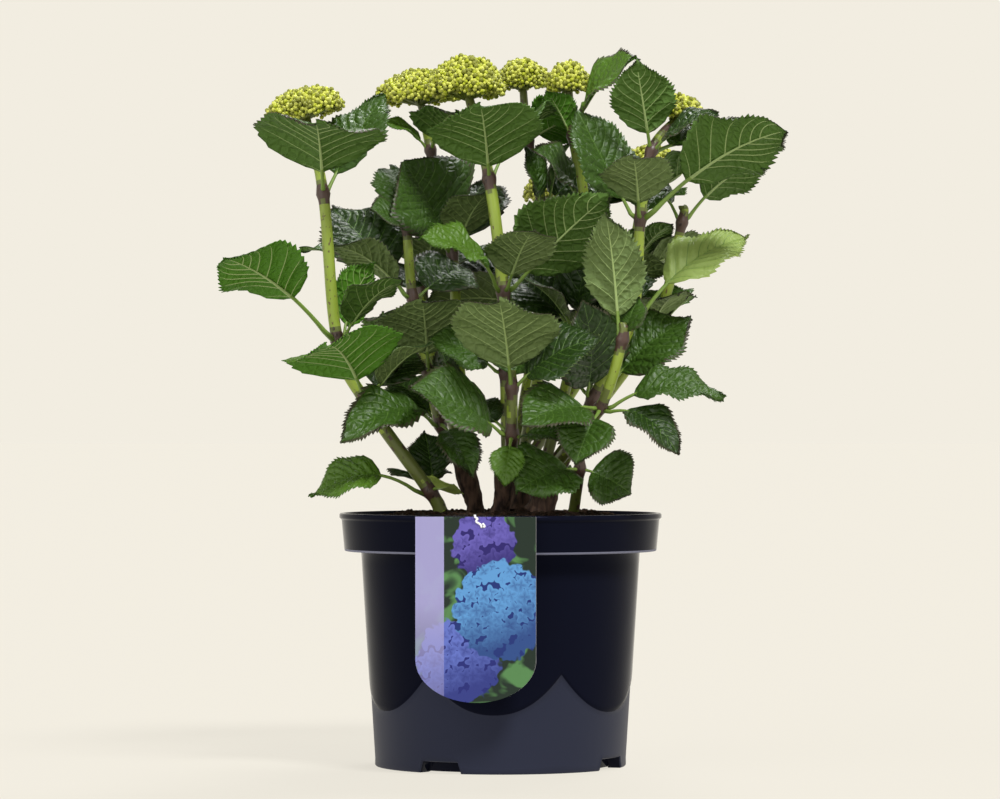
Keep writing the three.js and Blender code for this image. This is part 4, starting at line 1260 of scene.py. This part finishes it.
def add_pot(shape):
    turn = np.linspace(0, 2 * np.pi, POT["segments"], endpoint=False)
    from_lobe, half_lobe = from_nearest(np.degrees(turn), SCALLOP)
    rise = (from_lobe / half_lobe) ** 2.2
    scallop = SCALLOP["lowest"] + (SCALLOP["cusp"] - SCALLOP["lowest"]) * rise
    half_notch = math.degrees(NOTCH["width"] / 2 / POT["base"])
    foot = np.where(from_nearest(np.degrees(turn), NOTCH)[0] < half_notch, float(NOTCH["height"]), 0.0)
    inside = POT["base"] - NOTCH["depth"]
    band_foot = POT["height"] - POT["band_height"]
    lip_foot = POT["height"] - POT["lip"]

    def wall_radius(height):
        return POT["base"] + (POT["neck"] - POT["base"]) * height / band_foot

    rings = [
        (MIDDLE_RADIUS, FOOT_RING_HEIGHT, SATIN),
        (inside, FOOT_RING_HEIGHT, SATIN),
        (inside, foot, GLOSS),
        (POT["base"] - 1.2, foot, GLOSS),
        (wall_radius(foot) - SCALLOP["step"] + 0.4, foot + SCALLOP["edge"], SATIN),
    ]
    low, high = foot + SCALLOP["edge"], scallop - SCALLOP["edge"]
    for share in SATIN_SHARES:
        height = low + (high - low) * share
        rings.append((wall_radius(height) - SCALLOP["step"], height, SATIN))
    rings.append((wall_radius(scallop) - 0.1, scallop, GLOSS))
    for share in GLOSS_SHARES:
        height = scallop + (band_foot - 1.0 - scallop) * share
        rings.append((wall_radius(height), height, GLOSS))
    profile = [
        (POT["neck"] + 1.0, band_foot),
        (POT["band_foot"] - 1.2, band_foot),
        (POT["band_foot"] - 0.5, band_foot + 0.2),
        (POT["band_foot"], band_foot + 1.5),
        (POT["band_top"] - 0.1, lip_foot - 1.0),
        (POT["band_top"] + 0.3, lip_foot - 0.1),
        (POT["rim"] - 0.8, lip_foot),
        (POT["rim"], lip_foot + 0.9),
        (POT["rim"], POT["height"] - 1.0),
        (POT["rim"] - 0.8, POT["height"]),
        (POT["band_top"] - POT["wall"] + 0.4, POT["height"]),
        (POT["band_top"] - POT["wall"], POT["height"] - 0.6),
        (POT["band_foot"] - POT["wall"], band_foot + POT["wall"]),
        (POT["neck"] - POT["wall"], band_foot + POT["wall"] - 1),
        (POT["base"] - POT["wall"], POT["floor"]),
        (MIDDLE_RADIUS, POT["floor"]),
    ]
    rings += [(*place, PAINTED_HIGHLIGHT if number in HIGHLIGHT_RINGS else GLOSS)
              for number, place in enumerate(profile)]
    slots = np.array([slot for _, _, slot in rings[1:]])[:, None]
    shape.grid(np.stack([around(turn, radius, height) for radius, height, _ in rings]), slots, wrap=True)


pot_shape = Shape()
add_pot(pot_shape)
seat(pot_shape.piece("pot_body", POT_FINISHES), "pot", "pot")

# %% [markdown]
# Potting soil is peat and bark: a dark crumbly ground with lumps of all sizes. The ground is a
# low mound with soft relief, and Geometry Nodes strew the lumps over it by density.

# %% Potting soil
SOIL = {
    "edge_height": 173, "mound_height": 181, "mound_radius": 72, "radius": 110.6,
    "strewn_radius": 105, "floor_height": 158, "rings": 26, "segments": 120,
}
# Shares of the soil's radius, for its floor and for the small rings that close it in the middle.
FLOOR_SHARE, MIDDLE_SHARE = 0.99, 0.004
# How far the ground lies below the solid's on average, and how high its lumps are.
SUNK, LUMP_HEIGHT = 1.1, 0.9


def soil_finish(name, dark, light):
    """Moist peat and bark crumbs: dull, and mottled at the size of a crumb."""
    return mottled(finish(name, dark, 0.95, Specular_IOR_Level=0.2), (dark, light),
                   4, 6.0, (0.35, 0.7), 1.5, Roughness=0.7)


PEAT = soil_finish("moist peat", "#120c08", "#261a13")
BARK_CRUMB = soil_finish("bark crumbs in the soil", "#1b120c", "#3c2a1e")


def soil_piece(name, reach):
    radius = reach * np.linspace(1, MIDDLE_SHARE, SOIL["rings"])[:, None]
    turn = np.linspace(0, 2 * np.pi, SOIL["segments"], endpoint=False)[None]
    height = np.interp(radius, [0, SOIL["mound_radius"], SOIL["radius"]],
                       [SOIL["mound_height"], SOIL["mound_height"], SOIL["edge_height"]])
    lumps = np.sin(radius * 0.31 + 3 * turn) * np.sin(radius * 0.17 - 5 * turn + 1.7)
    top = around(turn, radius, height - SUNK + LUMP_HEIGHT * lumps)
    under = top[:1] * [FLOOR_SHARE, FLOOR_SHARE, 0] + [0, 0, SOIL["floor_height"]]
    floor = under * [MIDDLE_SHARE, MIDDLE_SHARE, 1]
    shape = Shape()
    shape.grid(np.concatenate([floor, under, top]), 0, wrap=True)
    return shape.piece(name, [PEAT])


def crumbs_tree():
    tree, given = new_tree("Crumbs strewn on soil", {
        "Crumbs per square metre": "Float", "Smallest": "Float", "Largest": "Float", "Seed": "Int",
        "Crumb finish": "Material",
    })
    upwards = add(tree, "ShaderNodeSeparateXYZ", add(tree, "GeometryNodeInputNormal")).outputs[2]
    places = add(tree, "GeometryNodeDistributePointsOnFaces", given["Geometry"],
                 Selection=above(tree, upwards, 0.5), Density=given["Crumbs per square metre"],
                 Seed=given["Seed"])
    lump = add(tree, "GeometryNodeMeshIcoSphere", Radius=1.0, Subdivisions=1)
    place = add(tree, "GeometryNodeInputPosition")
    bumps = add(tree, "ShaderNodeTexNoise", Vector=place, Scale=1.3, Detail=1.0).outputs[1]
    uneven = vector_math(tree, "MULTIPLY", place, bumps)
    crumb = add(tree, "GeometryNodeSetPosition", lump, Position=uneven)
    size = random_number(tree, given["Smallest"], given["Largest"], given["Seed"])
    turns = add(tree, "FunctionNodeRandomValue", (0, 0, 0), (6.28, 6.28, 6.28),
                data_type="FLOAT_VECTOR", Seed=given["Seed"])
    strewn = set_on_points(tree, places, crumb, turns, size)
    coloured = add(tree, "GeometryNodeSetMaterial", strewn, Material=given["Crumb finish"])
    add(tree, "NodeGroupOutput", coloured)
    return tree


seat(soil_piece("potting_soil", SOIL["radius"]), "soil", "soil")
crumbs = run_tree(soil_piece("soil_crumbs", SOIL["strewn_radius"]), crumbs_tree(), {
    "Crumbs per square metre": 42000.0, "Smallest": 1.2 * MM, "Largest": 4.6 * MM,
    "Seed": 4, "Crumb finish": BARK_CRUMB})
seat(crumbs, "soil")

# %% [markdown]
# The label is a printed plastic sheet with a round foot, hooked over the rim. Its print is a
# plain one of its own: a lilac band down one side, and three round blooms, two violet and one
# blue, in front of dark leaves. A bloom is a disc with a ragged edge, darker low down and to the
# right, and it's filled with four-petalled florets. Each floret comes from one cell of a Voronoi
# pattern: the place in the cell gives an angle, and petals are where a wave of it reaches out.

# %% Label and hook
LABEL = {
    "left": -59, "right": 25, "top": 179.5, "arch_start": 81, "bottom": 51.5,
    "thickness": 0.9, "gap": 0.3,
}
LABEL_MIDDLE = (LABEL["left"] + LABEL["right"]) / 2
LABEL_HALF = (LABEL["right"] - LABEL["left"]) / 2
BAND_WIDTH = 20
FLORET_MM = 9
# Where the pattern of each layer of florets starts, in metres, and how far its florets are turned.
FLORET_LAYERS = ((0.0, 5.1), (0.0046, 3.7))
# Middle across and up, radius in millimetres, and the darkest and the lightest tint.
BLOOMS = [
    (6, 160, 22, "#201562", "#6c62bc"),
    (-12, 80, 29, "#18206c", "#6678cc"),
    (18, 115, 33, "#11286c", "#62a3dc"),
]
HOOK = {"middle": -14, "width": 1.5, "thickness": 0.4, "drop": 8, "rings": 40}


def florets(tree, sheet_map, offset, turn):
    """Where petals are, how light they are, and a shade of each floret, for one layer."""
    place = add(tree, "ShaderNodeMapping", Vector=sheet_map, Location=(offset, offset * 0.7, 0.0))
    scaled = vector_math(tree, "SCALE", place, Scale=cells_per_metre(FLORET_MM))
    cells = add(tree, "ShaderNodeTexVoronoi", voronoi_dimensions="2D", Vector=scaled,
                Scale=1.0, Randomness=0.7)
    local = vector_math(tree, "SUBTRACT", scaled, cells.outputs["Position"])
    parts = add(tree, "ShaderNodeSeparateXYZ", local)
    angle = arithmetic(tree, "ARCTAN2", parts.outputs[1], parts.outputs[0])
    luck = add(tree, "ShaderNodeSeparateColor", cells.outputs["Color"])
    turned = arithmetic(tree, "MULTIPLY_ADD", luck, turn, angle)
    wave = arithmetic(tree, "COSINE", arithmetic(tree, "MULTIPLY", turned, 4.0))
    reach = arithmetic(tree, "MULTIPLY_ADD", wave, 0.13, 0.50)
    inside = arithmetic(tree, "SUBTRACT", reach, cells.outputs["Distance"])
    petal = ranged(tree, inside, 0.0, 0.04)
    light = ranged(tree, inside, 0.0, 0.5, 1.0, 0.35)
    return petal, light, luck.outputs[1]


def bloom(tree, sheet_map, ragged, right, up, radius):
    """Where the bloom is, and how much light falls on its part of the picture."""
    away = vector_math(tree, "SUBTRACT", sheet_map, (right * MM, up * MM, 0))
    flat = vector_math(tree, "MULTIPLY", away, (1, 1, 0))
    distance = vector_math(tree, "LENGTH", flat).outputs["Value"]
    uneven = arithmetic(tree, "MULTIPLY_ADD", ragged, 0.012, distance)
    inside = ranged(tree, uneven, (radius + 7) * MM, (radius + 6) * MM)
    slant = vector_math(tree, "DOT_PRODUCT", flat, (-0.35, 0.94, 0)).outputs["Value"]
    return inside, ranged(tree, slant, -0.8 * radius * MM, 0.5 * radius * MM)


def label_finish():
    """An offset print on a white polypropylene sheet."""
    material, tree, shader = finish("offset print on a polypropylene sheet", "#5a74c4", 0.4,
                                    Specular_IOR_Level=0.3)
    sheet_map = add(tree, "ShaderNodeUVMap", uv_map="Blade").outputs[0]
    is_lit = ranged(tree, noise(tree, sheet_map, 22, 2.0, Distortion=1.2), 0.5, 0.62)
    colour = mixed(tree, is_lit, linear("#12241a"), linear("#4d7a48"))
    ragged = noise(tree, sheet_map, 7, 1.0)
    layers = [florets(tree, sheet_map, offset, turn) for offset, turn in FLORET_LAYERS]
    for right, up, radius, dark, pale in BLOOMS:
        inside, light = bloom(tree, sheet_map, ragged, right, up, radius)
        flowers = linear(dark)
        for petal, edge, luck in layers:
            shade = arithmetic(tree, "MULTIPLY_ADD", luck, 0.7, edge)
            lit = arithmetic(tree, "MULTIPLY", shade, light, use_clamp=True)
            raised = ranged(tree, lit, 0.1, 1.4, 0.1, 1.0)
            flowers = mixed(tree, petal, flowers, mixed(tree, raised, linear(dark), linear(pale)))
        colour = mixed(tree, inside, colour, flowers)
    parts = add(tree, "ShaderNodeSeparateXYZ", sheet_map)
    in_band = arithmetic(tree, "LESS_THAN", parts, (BAND_WIDTH - LABEL_HALF) * MM)
    upwards = ranged(tree, parts.outputs[1], 0.07, 0.12, 0.35, 0.92)
    veiled = mixed(tree, upwards, colour, linear("#9a96c4"))
    feed(tree, shader.inputs["Base Color"], mixed(tree, in_band, colour, veiled))
    return material


def around_rim(points, middle):
    """Turns points that face the front at the rim's middle to where they hang on the rim."""
    angle = math.asin(middle / POT["rim"])
    across, back = math.cos(angle), math.sin(angle)
    return points @ np.array([[across, back, 0], [-back, across, 0], [0, 0, 1]])


def add_label(shape):
    across = -LABEL_HALF * np.cos(np.linspace(0.0, np.pi, 41))[None]
    upwards = np.linspace(0, 1, 30)[:, None]
    round_foot = np.sqrt(np.clip(1 - (across / LABEL_HALF) ** 2, 0, 1))
    low = LABEL["arch_start"] - (LABEL["arch_start"] - LABEL["bottom"]) * round_foot
    across, height = np.broadcast_arrays(across, low + (LABEL["top"] - low) * upwards)
    sides = []
    for depth in (LABEL["thickness"], 0.0):
        y = np.full(height.shape, -(POT["rim"] + LABEL["gap"] + depth))
        sides.append(around_rim(np.stack([across, y, height], axis=-1), LABEL_MIDDLE))
    shape.slab(sides[0], sides[1], (0, 1, 1), np.stack([across, height], axis=-1))


def add_hook(shape):
    """A flat thread of white plastic, over the rim and down in front of the label."""
    front = POT["rim"] + LABEL["gap"] + LABEL["thickness"] + HOOK["thickness"] + 0.1
    inside = POT["band_top"] - POT["wall"] - HOOK["thickness"] - 0.3
    top = POT["height"] + HOOK["thickness"] + 0.1
    low = top - HOOK["drop"]
    route = [
        (-5, inside, top - 4), (-4.6, inside, top - 1.4), (-4.4, inside + 1.2, top),
        (-3.4, front - 1.4, top), (-3.2, front, top - 1.2), (-1.6, front, top - 2.4),
        (-2.6, front, top - 4.2), (0.6, front, top - 6.4), (1.2, front, low),
        (3.4, front, low + 0.4), (1.8, front, low + 2.6),
    ]
    route = [(x, -y, z) for x, y, z in route]
    places = np.array([curve_point(route, share) for share in np.linspace(0, 1, HOOK["rings"])])
    ahead = unit(np.gradient(places, axis=0))
    side = unit(np.cross(ahead, np.cross([1.0, 0, 0], ahead)))
    upper = np.cross(side, ahead)
    sizes = np.broadcast_to([HOOK["width"] / 2, HOOK["thickness"]], (HOOK["rings"], 2))
    shape.tube(*[around_rim(values, HOOK["middle"]) for values in (places, side, upper)], sizes, 0)


LABEL_BACK = finish("white polypropylene sheet", "#d9d9de", 0.4)[0]
HOOK_WHITE = finish("white moulded polypropylene hook", "#ececf0", 0.35)[0]
label_shape, hook_shape = Shape(), Shape()
add_label(label_shape)
add_hook(hook_shape)
seat(label_shape.piece("picture_label", [label_finish(), LABEL_BACK], smooth=False), "label", "label")
seat(hook_shape.piece("hook_of_the_label", [HOOK_WHITE]), "label_hook", "label_hook")

# %% [markdown]
# The studio is plain: a pale floor that runs far back, and a sky that is pale near the horizon
# and dim overhead, so the leaves inside the plant stay dark. The floor gets the sky's value from
# a little light of its own, and the two meet with no line. The lamps are wide suns: a key from
# the right in front, a soft fill from the left and a rim light from behind.

# %% Floor, sky and lamps
BACKGROUND = "#f2ede1"
SKY_TOP_STRENGTH = 0.18
# Heights on a sky of height 1 between which it dims.
SKY_DIMS = (0.2, 0.55)
FLOOR_GLOW = 0.80
FLOOR_HALF = 60
LAMPS = {
    "key_sun": {"turn": 32, "height": 52, "strength": 3.0, "softness": 14},
    "fill_sun": {"turn": -48, "height": 22, "strength": 0.9, "softness": 60},
    "rim_sun": {"turn": 160, "height": 58, "strength": 2.2, "softness": 20},
}


def stand_floor():
    mesh = bpy.data.meshes.new("floor")
    corners = [(x * FLOOR_HALF, y * FLOOR_HALF, 0) for x, y in ((-1, -1), (1, -1), (1, 1), (-1, 1))]
    mesh.from_pydata(corners, [], [(0, 1, 2, 3)])
    mesh.materials.append(finish("pale matt floor", "#5c5a55", 0.95, Specular_IOR_Level=0.0,
                                 Emission_Color=linear(BACKGROUND), Emission_Strength=FLOOR_GLOW)[0])
    floor = new_object("floor", mesh)
    floor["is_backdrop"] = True


def light_sky():
    world = bpy.data.worlds.new("sky")
    world.use_nodes = True
    tree = world.node_tree
    parts = add(tree, "ShaderNodeSeparateXYZ", add(tree, "ShaderNodeTexCoord").outputs["Generated"])
    strength = ranged(tree, parts.outputs[2], *SKY_DIMS, 1.0, SKY_TOP_STRENGTH,
                      interpolation_type="SMOOTHSTEP")
    sky = tree.nodes["Background"]
    feed(tree, sky.inputs["Color"], linear(BACKGROUND))
    feed(tree, sky.inputs["Strength"], strength)
    bpy.context.scene.world = world


def light_sun(name, turn, height, strength, softness):
    """A wide sun, turned to the right of the camera and raised above the floor, in degrees."""
    light = bpy.data.lights.new(name, "SUN")
    light.energy = strength
    light.angle = math.radians(softness)
    new_object(name, light).rotation_euler = (math.radians(90 - height), 0, math.radians(turn))


stand_floor()
light_sky()
for lamp_name, lamp in LAMPS.items():
    light_sun(lamp_name, **lamp)
bpy.context.scene.view_settings.view_transform = "Standard"
print("studio lit by", ", ".join(LAMPS))

# %% [markdown]
# The dressed plant has to keep the size of its solids. Both boxes are written down to compare.

# %% Sizes and hand-over
DRESSED_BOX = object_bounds()
print_box("the box of the dressed plant", DRESSED_BOX)
